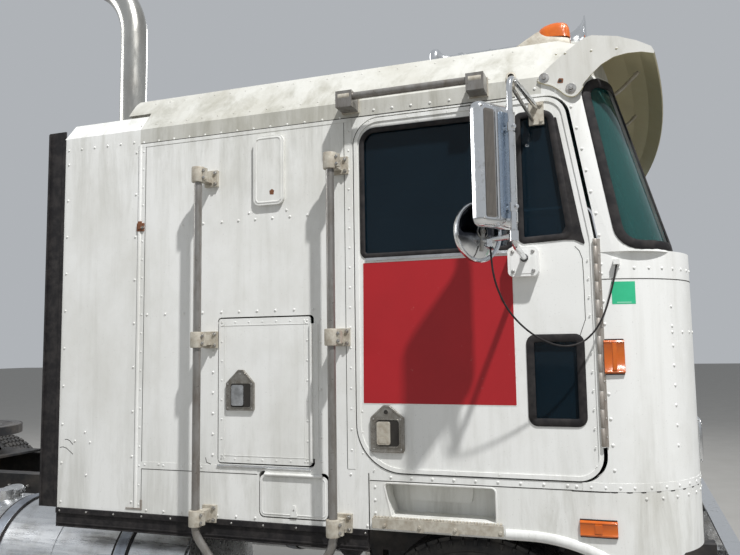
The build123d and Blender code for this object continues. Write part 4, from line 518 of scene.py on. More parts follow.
    def sheet(self, outline, place, low, high):
        """A flat outline made thick between two heights; place turns (u, v, w) into a point."""
        n = len(outline)
        verts = [place(u, v, low) for u, v in outline] + [place(u, v, high) for u, v in outline]
        faces = [tuple(range(n, 2 * n)), tuple(reversed(range(n)))]
        faces += [(i, (i + 1) % n, n + (i + 1) % n, n + i) for i in range(n)]
        self.add(verts, faces)

    def plate(self, outline, low, high):
        """A sheet on the right-hand skin, between two heights above it."""
        self.sheet(outline, place_right, low, high)

    def row(self, a, b, step, out, r, h):
        """Rivets along a straight line."""
        for p in line(a, b, step):
            self.dome(p, out, r, h)

    def mirrored(self):
        """Adds the same faces on the other side of the middle plane."""
        base = len(self.verts)
        self.verts += [Vector((v.x, -v.y, v.z)) for v in self.verts]
        self.faces += [tuple(base + i for i in reversed(f)) for f in self.faces]
        self.slots += list(self.slots)
        return self

    def across(self, name, body):
        """A copy for the other side of the vehicle, on its own body."""
        twin = Kit(name, body, self.looks[0], self.slot, self.sharp, self.bevel)
        twin.looks = list(self.looks)
        twin.verts = [Vector((v.x, -v.y, v.z)) for v in self.verts]
        twin.faces = [tuple(reversed(f)) for f in self.faces]
        twin.slots = list(self.slots)
        return twin

    def done(self):
        mesh = bpy.data.meshes.new(self.name)
        mesh.from_pydata([v * MM for v in self.verts], [], self.faces)
        for look in self.looks:
            mesh.materials.append(MATS[look])
        mesh.polygons.foreach_set("material_index", self.slots)
        work = bmesh.new()
        work.from_mesh(mesh)
        bmesh.ops.recalc_face_normals(work, faces=work.faces)
        work.to_mesh(mesh)
        work.free()
        mesh.polygons.foreach_set("use_smooth", [True] * len(mesh.polygons))
        mesh.set_sharp_from_angle(angle=radians(self.sharp))
        piece = bpy.data.objects.new(self.name, mesh)
        SCENE.collection.objects.link(piece)
        if self.bevel:
            edge = piece.modifiers.new("edge", "BEVEL")
            edge.width = self.bevel * MM
            edge.segments = 2
            edge.limit_method = "ANGLE"
            edge.angle_limit = radians(40)
            edge.harden_normals = True
        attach(piece, self.body)
        return piece


def soften(pts, steps, closed=False):
    """A smooth curve through the points."""
    n = len(pts)
    if n < 3:
        return pts
    out = []
    last = n if closed else n - 1
    for i in range(last):
        p0 = pts[(i - 1) % n] if closed or i else pts[0]
        p1, p2 = pts[i], pts[(i + 1) % n]
        p3 = pts[(i + 2) % n] if closed or i + 2 < n else pts[-1]
        for s in range(steps):
            t = s / steps
            out.append(0.5 * (2 * p1 + (p2 - p0) * t + (2 * p0 - 5 * p1 + 4 * p2 - p3) * t * t
                              + (3 * p1 - p0 - 3 * p2 + p3) * t * t * t))
    if not closed:
        out.append(pts[-1])
    return out


def carry(pts, closed=False):
    """Carries a square frame along a line without twist."""
    n = len(pts)
    out, a = [], None
    for i, p in enumerate(pts):
        before = pts[i - 1] if i or closed else p
        after = pts[(i + 1) % n] if i < n - 1 or closed else p
        along = (after - before).normalized()
        a = along.orthogonal().normalized() if a is None else (a - along * a.dot(along)).normalized()
        out.append((p, a, along.cross(a)))
    return out


def rounded(points, radii, steps=6):
    """Outline with rounded corners, as a closed list of 2-D points."""
    n = len(points)
    radii = radii if isinstance(radii, (list, tuple)) else [radii] * n
    out = []
    for i in range(n):
        p = Vector((*points[i], 0))
        a, b = Vector((*points[i - 1], 0)) - p, Vector((*points[(i + 1) % n], 0)) - p
        r = radii[i]
        if r <= 0:
            out.append((p.x, p.y))
            continue
        ua, ub = a.normalized(), b.normalized()
        half = ua.angle(ub) / 2
        d = r / tan(half)
        centre = p + (ua + ub).normalized() * (r / sin(half))
        start, end = p + ua * d, p + ub * d
        v0, v1 = start - centre, end - centre
        sweep = v0.angle(v1)
        turn = 1 if v0.cross(v1).z > 0 else -1
        for s in range(steps + 1):
            q = centre + Matrix.Rotation(turn * sweep * s / steps, 3, "Z") @ v0
            out.append((q.x, q.y))
    return out


def panel(u0, u1, v0, v1, radii, steps=6):
    """Outline of an upright plate with rounded corners."""
    return rounded([(u0, v0), (u1, v0), (u1, v1), (u0, v1)], radii, steps)


def around(n, shift=0.0):
    """Cosine and sine of n even steps round a circle."""
    turns = [2 * pi * (i + shift) / n for i in range(n)]
    return [(cos(t), sin(t)) for t in turns]


def dense(outline, step):
    """Adds points so that no run of a closed outline is longer than the step."""
    out = []
    for (x0, y0), (x1, y1) in zip(outline, outline[1:] + outline[:1]):
        parts = max(1, int(hypot(x1 - x0, y1 - y0) / step + 0.5))
        out += [(x0 + (x1 - x0) * i / parts, y0 + (y1 - y0) * i / parts) for i in range(parts)]
    return out


def line(a, b, step):
    """Evenly spaced points from one to the other."""
    a, b = Vector(a), Vector(b)
    parts = max(1, round((b - a).length / step))
    return [a + (b - a) * (i / parts) for i in range(parts + 1)]


# The cab's front face, half its width and its back wall
FRONT, HALF, BACK = 3112.0, 1180.0, 770.0
# Forward, backward, up and to the right
FORE, AFT, UP = (1, 0, 0), (-1, 0, 0), (0, 0, 1)
RIGHT = Vector((0, -1, 0))
# Height of the ledge under the windscreens, and the radii of the corners below and above it
LEDGE_Z, CORNER_R, PANE_R = 2040, 350.0, 210.0
# Outward directions of the windscreens and of the rounded eave, and the radius of the roof's crown
PANE_OUT, EAVE_OUT, ROOF_R = (0.96, 0, 0.27), (0, -0.79, 0.61), 10500
# Bumper's face, the tail lamps' faces, and the coupling's centre and top
BUMPER_X, TAIL_X = 3285, -3285
COUPLING_X, COUPLING_Z = -1700, 1185
# Centre of the front wheel arch
ARCH_X, ARCH_Z = 2495, 387
# Height of the wheels' centres, and where the axles are
WHEEL_Z = 490
STEER_X = 2290
DRIVE_X = {"drive_front": -1095, "drive_rear": -2415}
# Radius and height of the rivets on the side skin, and of those on the other panels
RIVET = (5.6, 3.4)
LOW_RIVET = (5.4, 2.6)
# Door hinge line in plan, and the axis of the mirror's loop
HINGE_X, HINGE_Y = 2772, -1186
LOOP_X, LOOP_Y = 2519, -1480.0


def place_right(u, v, w):
    """Side view of the right-hand skin: u forward, v up, w out from the skin."""
    return Vector((u, -HALF - w, v))


def place_front(u, v, w):
    """Front view: u across, v up, w forward."""
    return Vector((w, u, v))


def place_top(u, v, w):
    """Top view: u forward, v across, w up."""
    return Vector((u, v, w))


# Straight rivet rows on the side skin: start x z, end x z, spacing
SIDE_ROWS = [
    ((789, 2664), (1770, 2664), 81), ((1840, 2680), (2320, 2680), 81), ((359, 2670), (735, 2670), 81),
    ((1002, 2260), (1110, 2260), 101), ((1205, 2260), (1618, 2260), 88), ((820, 1862), (1110, 1862), 90),
    ((1205, 1862), (1640, 1862), 88), ((820, 1195), (1110, 1195), 90), ((1205, 1195), (1360, 1195), 78),
    ((1712, 1195), (1800, 1195), 80), ((1165, 1250), (1165, 1690), 84), ((1672, 1240), (1672, 1820), 96),
    ((1806, 1290), (1806, 2600), 82), ((790, 1021), (790, 2620), 84), ((750, 1030), (750, 2620), 190),
    ((360, 1010), (360, 2600), 180), ((1722, 1240), (1722, 1680), 110), ((1722, 1830), (1722, 2380), 110),
    ((830, 998), (1370, 998), 93), ((1712, 998), (1868, 998), 78), ((1968, 1190), (2640, 1190), 82),
    ((1902, 1000), (1902, 1150), 50),
]
SIDE_SINGLES = [
    (490, 1330), (434, 1288), (519, 1285), (501, 1136), (893, 1199), (1520, 2290), (1340, 2290),
]
# Rivets that follow the corner pillar, up the front edge of the door
PILLAR_RIVETS = [
    (2576, 2682), (2655, 2662), (2708, 2595), (2725, 2511), (2741, 2429), (2753, 2346), (2766, 2264),
    (2781, 2181), (2788, 2098), (2790, 1991), (2790, 1956), (2792, 1854), (2794, 1772), (2797, 1520),
    (2800, 1431), (2803, 1338), (2805, 1250),
]


def glass_x(z):
    """Forward place of the leaning windscreen at a height."""
    return FRONT - 67 - (z - LEDGE_Z) * tan(radians(16))


def corner_point(s, front=FRONT, half=HALF, r=CORNER_R):
    """Point and outward normal on the right-hand corner in plan, s on from the corner's start."""
    start = front - r
    if s <= 0:
        return start + s, -half, RIGHT.copy()
    turn = s / r
    if turn < pi / 2:
        return start + r * sin(turn), -half + r - r * cos(turn), Vector((sin(turn), -cos(turn), 0))
    return front, -half + r + (s - r * pi / 2), Vector(FORE)


def skin_point(x, z):
    """Point and outward normal on the right-hand skin at a given x, below or above the ledge."""
    front, r = (FRONT, CORNER_R) if z < LEDGE_Z else (glass_x(z), PANE_R)
    inside = x - (front - r)
    if inside <= 0:
        return Vector((x, -HALF, z)), RIGHT.copy()
    turn = min(1.0, inside / r)
    place = Vector((x, -HALF + r - sqrt(max(0, r * r - inside * inside)), z))
    return place, Vector((turn, -sqrt(1 - turn * turn), 0))


def over_corner(z, start, end, step):
    """Points at one height, round the corner."""
    parts = round((end - start) / step)
    for i in range(parts + 1):
        x, y, n = corner_point(start + (end - start) * i / parts)
        yield Vector((x, y, z)), n


def cab_rivets():
    """Rivet rows of the sides, corners, belt, header and back wall."""
    kit = Kit("cab_rivets", "cab", "white_side", "white_paint", 60)
    for (x0, z0), (x1, z1), step in SIDE_ROWS:
        kit.row((x0, -HALF, z0), (x1, -HALF, z1), step, RIGHT, *RIVET)
    for x, z in SIDE_SINGLES:
        kit.dome((x, -HALF, z), RIGHT, *RIVET)
    for x, z in PILLAR_RIVETS:
        kit.dome(*skin_point(x, z), *RIVET)
    for z, start, end, step in ((1975, 88, 1370, 57), (1188, -90, 60, 50), (1188, 110, 540, 62),
                                (1150, 150, 540, 62), (1740, 300, 820, 62)):
        for p, n in over_corner(z, start, end, step):
            kit.dome(p, n, *RIVET)
    for z in range(1330, 1900, 72):
        for s in (300, 1290):
            x, y, n = corner_point(s)
            kit.dome((x, y, z), n, *RIVET)
    # header over the windscreens
    for y in range(-860, -20, 84):
        kit.dome((glass_x(2714), y, 2714), PANE_OUT, 5, 2.4)
    # back wall
    for z in (1195, 1720, 2600):
        kit.row((BACK, -1100, z), (BACK, -40, z), 92, AFT, *LOW_RIVET)
    for y in (-1140, -700, -240):
        kit.row((BACK, y, 1240), (BACK, y, 2560), 95, AFT, *LOW_RIVET)
    return kit.mirrored().done()


def side_seams():
    """Lap strips of the riveted skin, with a dark line along each: partly grime in the seam, partly painted
    shadow of the lap's edge.
    """
    kit = Kit("side_laps", "cab", "white_side", "white_paint", 40)
    # dark lines along the laps: grime in the seams and painted shadow of the laps' edges
    gap = Kit("seam_grime_and_shade_lines", "cab", "dark_gap_and_shade", None, 40)
    y0 = -HALF
    kit.box((772, 1820), (y0 - 1.6, y0), (2642, 2657))
    gap.box((772, 2500), (y0 - 0.6, y0 + 1), (2657, 2660.5))
    kit.box((780, 801), (y0 - 1.6, y0), (1000, 2641))
    kit.strip([(773, y0, 1006), (773, y0, 2650)], RIGHT,
              [(-9, -1), (-8, 3.5), (-4, 6.5), (3, 6.5), (7, 3.5), (8, -1)], False)
    gap.box((761.5, 764), (y0 - 0.6, y0), (1006, 2650))
    kit.box((1788, 1821), (y0 - 1.6, y0), (1216, 2641))
    gap.box((1785, 1788), (y0 - 0.6, y0), (1216, 2641))
    gap.box((801, 803.5), (y0 - 0.6, y0), (1000, 2655))
    for scratch in ([(376, 1293), (390, 1294), (404, 1288), (423, 1271)],
                    [(348, 1256), (366, 1259), (386, 1254), (424, 1227)],
                    [(1130, 1237), (1135, 1217), (1157, 1210)]):
        outline_strip(gap, scratch, ridge(1.6, 1.2, 0.4), 0, False)
    kit.box((772, 1380), (y0 - 1.4, y0), (1178, 1208))
    gap.box((772, 1380), (y0 - 0.6, y0), (1175, 1178))
    gap.box((1880, 2660), (y0 - 0.6, y0), (1173, 1176))
    gap.box((1874, 1878), (y0 - 0.6, y0 + 1), (986, 1202))
    steps = (-108, -104, -98, -88, -70, -30, 0, 40, 90, 140, 200, 260, 320, 380, 440, 500, 550)
    plate = [corner_point(s) for s in steps]
    belt = [corner_point(14 + 27 * i) for i in range(52)]
    for low, high, proud, look, points in ((1175, 1204, 1.6, kit, plate[4:]), (1170.5, 1175, 0.5, gap, plate),
                                           (1933.5, 1936.5, 0.6, gap, belt)):
        h = (high - low) / 2
        look.strip([(a[0], a[1], low + h) for a in points], [a[2] for a in points],
                   [(-h, 0), (-h, proud), (h, proud), (h, 0)], False)
    # back wall laps
    for z in (1208, 1733, 2587):
        kit.box((BACK - 1.6, BACK), (-1150, 0), (z - 15, z))
        gap.box((BACK - 0.6, BACK), (-1150, 0), (z - 18, z - 15))
    for y in (-1125, -685, -225):
        gap.box((BACK - 0.6, BACK), (y, y + 3), (1210, 2600))
    kit.mirrored().done()
    gap.mirrored().done()
    catch = Kit("rusty_catch", "cab", "rust", "steel", 40, bevel=1.0)
    catch.box((762, 800), (y0 - 8, y0 - 1), (2246, 2284))
    catch.box((770, 790), (y0 - 12, y0 - 7), (2256, 2292))
    catch.use("gunmetal").nut((794, y0 - 8, 2262), RIGHT, 7, 5)
    catch.mirrored().done()


def ridge(foot, top, height, low=0):
    """Profile of a flat strip with sloping sides: half widths at its foot and top."""
    return [(-foot, low), (-top, height), (top, height), (foot, low)]


def sleeve(inner, outer, start, end, edge=1):
    """Turned profile of a band or knuckle, its ends bevelled over the edge."""
    return [(inner, start), (outer, start + edge), (outer, end - edge), (inner, end)]


def even(*half):
    """Profile with equal sides, given up to its middle."""
    return [*half, *((-u, v) for u, v in reversed(half) if u)]


def strip_profile(width, height):
    """Profile of a rounded rubber or bead."""
    h = width / 2
    return [(-h, -1), (-h * 0.92, height * 0.55), (-h * 0.5, height), (h * 0.5, height),
            (h * 0.92, height * 0.55), (h, -1)]


def outline_strip(kit, outline, profile, lift=0.0, closed=True):
    """A strip along an outline on the right-hand skin."""
    kit.strip([place_right(u, v, lift) for u, v in outline], RIGHT, profile, closed)


MAIN_GLASS = panel(1866, 2462, 2072, 2592, [20, 20, 20, 55])
VENT_GLASS = rounded([(2506, 2096), (2686, 2104), (2626, 2580), (2506, 2580)], [15, 25, 30, 15])
PEEP_GLASS = panel(2530, 2700, 1420, 1718, 15)
HANDLE = [(1893, 1290), (2024, 1290), (2024, 1420), (1965, 1467), (1945, 1467), (1893, 1420)]


def grown(outline, d):
    """Outline moved outward by d (inward where d is below 0)."""
    n = len(outline)
    area = sum(outline[i - 1][0] * outline[i][1] - outline[i][0] * outline[i - 1][1] for i in range(n))
    sign = 1 if area > 0 else -1
    out = []
    for i in range(n):
        (x0, y0), (x1, y1), (x2, y2) = outline[i - 1], outline[i], outline[(i + 1) % n]
        a = Vector((y1 - y0, x0 - x1))
        b = Vector((y2 - y1, x1 - x2))
        a = a.normalized() if a.length > 1e-6 else b.normalized()
        b = b.normalized() if b.length > 1e-6 else a
        m = (a + b).normalized()
        m = m * (d * sign / max(0.5, m.dot(a)))
        out.append((x1 + m.x, y1 + m.y))
    return out


def finish_side(pieces, side):
    if side == "left":
        pieces = [p.across(p.name, p.body) for p in pieces]
    return [p.done() for p in pieces]


def door_trim(side):
    """Window rubbers, bright strips, rivets, handle and hinge of a door."""
    body = "door_" + side
    rub = Kit("door_rubber_" + side, body, "rubber", "rubber", 50)
    outline_strip(rub, grown(MAIN_GLASS, 2), strip_profile(22, 5.5))
    outline_strip(rub, grown(VENT_GLASS, 2), strip_profile(26, 6))
    outline_strip(rub, grown(PEEP_GLASS, 6), strip_profile(30, 6.5))
    # the wide rubber corner at the foot of the vent window
    corner = rounded([(2640, 2090), (2700, 2086), (2738, 2066), (2728, 2112), (2652, 2560), (2636, 2560),
                      (2690, 2170)], 4)
    rub.plate(corner, 0, 3)
    metal = Kit("door_brightwork_" + side, body, "aluminium", "aluminium", 40, bevel=0.8)
    metal.box((1876, 2456), (-1186, -HALF), (2050, 2062))
    metal.box((2474, 2494), (-1187, -1150), (2090, 2588))
    metal.use("cast_arm").box((1880, 2470), (-1184, -HALF), (2063, 2068))
    plate = Kit("door_details_" + side, body, "white_side", "white_paint", 45, bevel=0.8)
    for z in range(1280, 1460, 82):
        plate.dome((1852, -HALF, z), RIGHT, 4.5, 2)
    for z in range(1262, 2060, 68):
        plate.dome((2744, -1184, z), RIGHT, 3.6, 1.6)
    for x in range(1900, 2560, 165):
        plate.dome((x, -1184, 2634), RIGHT, 3.2, 1.4)
        plate.dome((x, -1184, 1217), RIGHT, 3.2, 1.4)
    lines = Kit("door_lines_" + side, body, "dark_gap_and_shade", None, 40)
    # painted shade: a dark line along the crease of the pressed panel between the belt and the peep window
    crease = [(2700, 2062), (2715, 2045), (2725, 2015), (2727, 1960), (2727, 1790), (2702, 1722)]
    outline_strip(lines, crease, ridge(1.2, 1.0, 0.5), 0, False)
    lines.plate(panel(1916, 2007, 1311, 1412, 12), 10.0, 10.8)
    handle = Kit("door_handle_" + side, body, "gunmetal", "steel", 40, bevel=1.0)
    outer = rounded(HANDLE, 8)
    handle.plate(grown(outer, -3), 9.6, 10.4)
    outline_strip(handle, outer, even((-4, -10), (-4, 1), (0, 2.6)), 10.2)
    outline_strip(handle, panel(1909, 2010, 1306, 1415, 14), ridge(3, 2, 2.2), 10.4)
    handle.use("cast_arm").plate(panel(1917, 1972, 1316, 1406, 8), 11, 17)
    handle.plate(rounded([(1926, 1322), (1963, 1322), (1960, 1344), (1929, 1344)], 5), 17, 18.6)
    handle.use("dark_gap_and_shade").lathe([(9, 0), (9, 1.4), (3, 1.6), (0, 1.0)], (1955, -1190.4, 1443), RIGHT, 20)
    handle.use("gunmetal").lathe([(12, 0), (12, 2), (9, 2.4), (9, 0)], (1955, -1190.4, 1443), RIGHT, 24)
    handle.use("steel")
    handle.studs(((1901, 1299), (2016, 1299), (1902, 1416), (2015, 1416)), 11, 4, 1.8)
    knuckles = Kit("door_hinge_" + side, "cab", "hinge_steel", "steel", 50)
    for z in range(1333, 2084, 66):
        top = min(z + 64, 2085)
        knuckles.lathe(sleeve(6.4, 7.6, 0, top - z, 1.2), (HINGE_X, HINGE_Y, z), UP, 14)
    knuckles.box((2776, 2790), (-1184.2, -1182), (1333, 2085))
    for z in range(1366, 2080, 66):
        knuckles.use("steel").dome((2784, -1184, z), RIGHT, 3.2, 1.6)
    return finish_side([rub, metal, plate, lines, handle, knuckles], side)


def red_sign():
    """Bare company panel on the right-hand door."""
    kit = Kit("door_panel_sign", "door_right", "sign_white", None, 40)
    kit.plate(rounded([(1856, 1474), (2470, 1472), (2470, 2044), (1862, 2045)], 6), 0.1, 0.8)
    red = rounded([(1859, 1477), (2467, 1475), (2467, 2041), (1865, 2042)], 4)
    kit.use("sign_red").plate(red, 0.8, 1.3)
    kit.done()


def small_marks():
    """The plain green square with the pale line under it, and a blank sticker on the glass."""
    kit = Kit("corner_decal", "cab", "green_square", None, 40)
    steps = [61, 78, 95, 112, 130, 146]
    points = [corner_point(s) for s in steps]
    kit.strip([(p[0], p[1], 1884) for p in points], [p[2] for p in points], ridge(41, 41, 0.6, 0.1), False)
    kit.use("green_pale").strip([(p[0], p[1], 1849) for p in points[1:-1]], [p[2] for p in points[1:-1]],
                                ridge(2, 2, 0.9, 0.5), False)
    kit.done()
    # blank sticker on the windscreen's corner
    note = Kit("glass_sticker", "cab", "sign_white", None, 40)
    out = Vector(PANE_OUT)
    a, b = Vector((glass_x(2155), -900, 2155)) - out * 11, Vector((glass_x(2205), -900, 2205)) - out * 11
    note.add([a, a + Vector((0, 62, 0)), b + Vector((0, 62, 0)), b], [(0, 1, 2, 3)])
    note.done()


def vent_covers():
    """Raised vent covers on the sleeper, one each side."""
    kit = Kit("vent_covers", "cab", "white_side", "white_paint", 50, bevel=2.0)
    outer = panel(1368, 1512, 2316, 2622, 30, 8)
    kit.plate(outer, -0.5, 15.5)
    outline_strip(kit, grown(outer, -12), strip_profile(9, 2.2), 15)
    rust = rounded([(1448, 2360), (1466, 2358), (1469, 2376), (1458, 2384), (1446, 2376)], 3)
    kit.use("rust").plate(rust, 15, 15.9)
    kit.use("steel")
    kit.studs(((1384, 2334), (1496, 2334), (1386, 2604), (1494, 2604)), 15.5, 4.5, 1.8)
    kit.mirrored().done()


def luggage_trim(side):
    """Rivets, bead, hinge, sill and latch of a luggage door."""
    body = "luggage_" + side
    kit = Kit("luggage_details_" + side, body, "white_side", "white_paint", 45, bevel=0.6)
    for a, b, step in (((1208, 1236), (1208, 1816), 83), ((1208, 1816), (1600, 1816), 65),
                       ((1208, 1236), (1600, 1236), 65), ((1612, 1236), (1612, 1816), 83)):
        kit.row((a[0], -HALF, a[1]), (b[0], -HALF, b[1]), step, RIGHT, 4.4, 2.1)
    outline_strip(kit, grown(panel(1193, 1629, 1220, 1832, 12), -30), ridge(3, 2, 1.6, -1))
    hinge = Kit("luggage_hinge_" + side, "cab", "white_side", "white_paint", 50)
    for z in range(1233, 1800, 31):
        top = min(z + 25, 1799)
        hinge.lathe(sleeve(5.6, 6.6, 0, top - z), (1631, -1185, z), UP, 12)
    for z in range(1275, 1790, 75):
        hinge.dome((1650, -1183, z), RIGHT, 3.4, 1.6)
    hinge.use("aluminium").strip([(1190, -HALF, 1206), (1628, -HALF, 1206)], RIGHT,
                                 even((-6, -1), (-5, 5), (0, 8)), False)
    dark = Kit("luggage_latch_" + side, body, "gunmetal", "steel", 45, bevel=1.0)
    house = rounded([(1234, 1440), (1368, 1440), (1368, 1556), (1316, 1612), (1292, 1612), (1234, 1556)], 8)
    dark.plate(house, 0, 10)
    outline_strip(dark, grown(house, -4), ridge(4, 3, 2.4), 9)
    outline_strip(dark, panel(1256, 1356, 1452, 1556, 12), ridge(3, 2, 2.4), 9.6)
    dark.use("dark_gap_and_shade").plate(panel(1257, 1354, 1454, 1554, 10), 10, 10.6)
    dark.use("chrome").plate(panel(1264, 1322, 1461, 1548, 8), 10.6, 17)
    dark.use("steel")
    dark.studs(((1245, 1450), (1358, 1450), (1245, 1552), (1358, 1552), (1304, 1594)), 11, 4, 1.8)
    finish_side([kit, hinge, dark], side)


def flap_trim():
    """Pull, bead and hinge of the small flap."""
    kit = Kit("flap_details", "flap", "white_side", "white_paint", 45)
    kit.plate(rounded([(1533, 1012), (1565, 1012), (1556, 1058), (1542, 1058)], 3), 0.2, 6)
    kit.use("steel").dome(place_right(1549, 1040, 6), RIGHT, 4, 2)
    kit.use("white_side")
    outline_strip(kit, grown(panel(1393, 1698, 1008, 1178, 22), -11), strip_profile(5, 1.8))
    kit.done()
    hinge = Kit("flap_hinge", "cab", "white_side", "white_paint", 50)
    for x in range(1419, 1670, 24):
        hinge.lathe(sleeve(5.4, 6.4, 0, 18), (x, -1185, 1180), FORE, 12)
    for x in range(1437, 1670, 54):
        hinge.dome((x, -1183, 1196), RIGHT, 3.4, 1.6)
    hinge.done()


def bar_clamps():
    """Cast clamps and bolts of the grab bars."""
    kit = Kit("bar_clamps", "cab", "cast_arm", "steel", 40, bevel=2.0)
    for x in (1146, 1762):
        for z in (2455, 1742, 1005):
            kit.box((x - 22, x + 44), (-1195, -HALF), (z - 36, z + 36))
            kit.box((x - 17, x + 19), (-1284, -1190), (z - 22, z + 22))
            kit.lathe([(17.5, -34), (27, -33), (28.5, -28), (28.5, 28), (27, 33), (17.5, 34)],
                      (x, -1280, z), UP, 24)
            kit.box((x + 16, x + 42), (-1290, -1272), (z - 26, z + 26))
            kit.use("steel")
            for v in (z - 24, z + 24):
                kit.nut((x + 32, -1195, v), RIGHT, 7, 7)
            for v in (z - 15, z + 15):
                kit.nut((x + 32, -1290, v), RIGHT, 5.5, 5)
            kit.use("cast_arm")
    for x in (1820, 2360):
        kit.box((x - 38, x + 38), (-1190, -HALF), (2674, 2750))
        kit.box((x - 22, x + 22), (-1262, -1188), (2704, 2742))
        kit.lathe(sleeve(15.5, 22, -26, 26), (x, -1250, 2724), FORE, 20)
        kit.use("steel")
        for u in (x - 28, x + 28):
            for v in (2684, 2740):
                kit.nut((u, -1190, v), RIGHT, 6, 6)
        kit.use("cast_arm")
    kit.mirrored().done()


def skirt_trim():
    """Lips and clips of the rubber skirts and of the extenders' rubber edges."""
    kit = Kit("skirt_trim", "cab", "rubber", "rubber", 40, bevel=1.5)
    kit.box((336, 1870), (-1186, -1178), (960, 983))
    kit.box((336, 1870), (-1182, -1176), (912, 918))
    kit.box((336, 1870), (-1182, -1176), (899, 904))
    kit.box((236.5, 246), (-1184, -1168), (985, 2762))
    kit.box((322, 340), (-1184, -1177), (985, 2725))
    kit.use("hinge_steel").box((722, 808), (-1183, -HALF), (998, 1006))
    kit.box((797, 808), (-1183, -HALF), (1006, 1042))
    kit.use("steel")
    for x in range(360, 1870, 150):
        kit.dome((x, -1186, 971), RIGHT, 5, 3)
    kit.mirrored().done()


def step_trim():
    """Toothed step plates with their bolts, the rolled lip of the wheel arch and its black liner, which is
    partly painted shade of the arch's underside.
    """
    kit = Kit("step_teeth", "cab", "cast_arm", "steel", 35, bevel=0.8)
    for x in range(1898, 2400, 13):
        kit.box((x, x + 8), (-1201, -1181), (1035, 1040.5))
    kit.box((1894, 2407), (-1203, -1200), (996, 1036))
    for x in (1946, 2086, 2225, 2396):
        kit.nut((x, -1203, 1010), RIGHT, 7, 5)
    for x in (2088, 2225):
        kit.box((x - 14, x + 14), (-1203, -1196), (991, 997))
    kit.mirrored().done()
    pocket = Kit("step_pocket", "cab", "white_low", "white_paint", 40)
    # fillets in the pocket's corners, then its pressed back
    for corner in ([(1936, 1039), (1968, 1039), (1946, 1108), (1937, 1152)],
                   [(2377, 1166), (2377, 1146), (2374, 1156), (2367, 1163), (2358, 1166)],
                   [(1936, 1166), (1936, 1150), (1938, 1159), (1943, 1164), (1950, 1166)]):
        pocket.plate(corner, -100, 0.4)
    back = rounded([(2017, 1086), (2267, 1086), (2276, 1150), (2017, 1155)], 12)
    pocket.plate(back, -110, -98)
    rim = rounded([(1936, 1168), (1968, 1038), (2379, 1038), (2379, 1168)], [14, 10, 4, 20])
    outline_strip(pocket, rim, ridge(4, 2, 2, -1))
    pocket.mirrored().done()
    lip = Kit("arch_lip", "cab", "white_side", "white_paint", 50)
    arc = [(2412, 984)] + [(ARCH_X + 597 * sin(radians(a)), ARCH_Z + 597 * cos(radians(a)))
                           for a in range(0, 33, 3)]
    points, outs = [], []
    for x, z in arc:
        p, n = skin_point(x, z + 18)
        up = Vector(UP) if x < ARCH_X else Vector((x - ARCH_X, 0, z - ARCH_Z)).normalized()
        points.append(Vector((p.x, p.y, z)) + up * 18)
        outs.append(n)
    lip.strip(points, outs, [(-19, -4), (-19, 4), (-13, 9), (0, 11), (13, 8), (19, 0)], False)
    lip.mirrored().done()
    # black sheet inside the fender: partly its dark liner, partly painted shade where the arch is in shadow
    liner = Kit("arch_liner_and_shade", "cab", "rubber", "rubber", 40)
    arc = [(1886, 1028)] + [(ARCH_X + 640 * sin(radians(a)), ARCH_Z + 641 * cos(radians(a)))
                            for a in range(0, 38, 4)]
    shape = arc + [(x, z + 4) for x, z in reversed(arc)]
    n = len(shape)
    verts = [Vector((x, y, z)) for y in (-1138, -905) for x, z in shape]
    faces = [(i, (i + 1) % n, n + (i + 1) % n, n + i) for i in range(n)]
    half = len(arc)
    faces += [(i, i + 1, n - 2 - i, n - 1 - i) for i in range(half - 1)]
    faces += [(n + i, n + n - 1 - i, n + n - 2 - i, n + i + 1) for i in range(half - 1)]
    liner.add(verts, faces)
    liner.mirrored().done()


def seals():
    """Rubber round each pane, the rubber posts and the strip at the middle."""
    kit = Kit("windscreen_seals", "cab", "rubber", "rubber", 50)
    out = Vector((0.961, 0, 0.276))

    def front(y, z):
        return Vector((glass_x(z), y, z))

    centre = panel(-30, -934, 2056, 2704, [60, 20, 20, 60])
    kit.strip([front(u, v) for u, v in dense(centre, 90)], out, strip_profile(34, 7))
    # corner pane: front post, foot, leaning rear edge and head, on the curved skin
    side = dense(rounded([(2752, 2702), (3000, 2702), (3000, 2058), (2866, 2058)], [60, 0, 0, 80]), 40)
    row = []
    for x, z in side:
        edge = Vector((glass_x(z), -968, z))
        if x < edge.x - 1:
            p, n = skin_point(x, z)
            if p.y < -968:
                row.append((p, n))
    extra = []
    for z in (2702, 2058):
        for k in range(1, 5):
            turn = radians(60 + 30 * k / 4)
            extra.append((Vector((glass_x(z) - PANE_R + PANE_R * sin(turn),
                                  -HALF + PANE_R - PANE_R * cos(turn), z)),
                          Vector((sin(turn), -cos(turn), 0.2))))
    row = [(p, n) for p, n in row if not (p.x > glass_x(p.z) - PANE_R + 205 * sin(radians(60)))]
    head = [e for e in extra if e[0].z > 2400]
    foot = [e for e in reversed(extra) if e[0].z < 2400]
    start = max(range(len(row)), key=lambda i: (row[i][0] - row[i - 1][0]).length)
    row = row[start:] + row[:start]
    if row[0][0].z > 2400:
        row.reverse()
    post = [(front(-966, z), out) for z in (2620, 2500, 2380, 2260, 2140)]
    loop = row + head + post + foot
    if (row[-1][0] - head[0][0]).length > 300:
        loop = list(reversed(row)) + head + post + foot
    kit.strip([p for p, _ in loop], [n for _, n in loop], strip_profile(36, 7))
    heights = (2050, 2200, 2400, 2600, 2710)
    kit.strip([front(-950, z) for z in heights], out, even((-21, -1), (-19, 5), (-8, 8)), False)
    kit.mirrored()
    kit.strip([front(0, z) for z in heights], out, even((-30, -1), (-27, 5), (-10, 8)), False)
    kit.done()


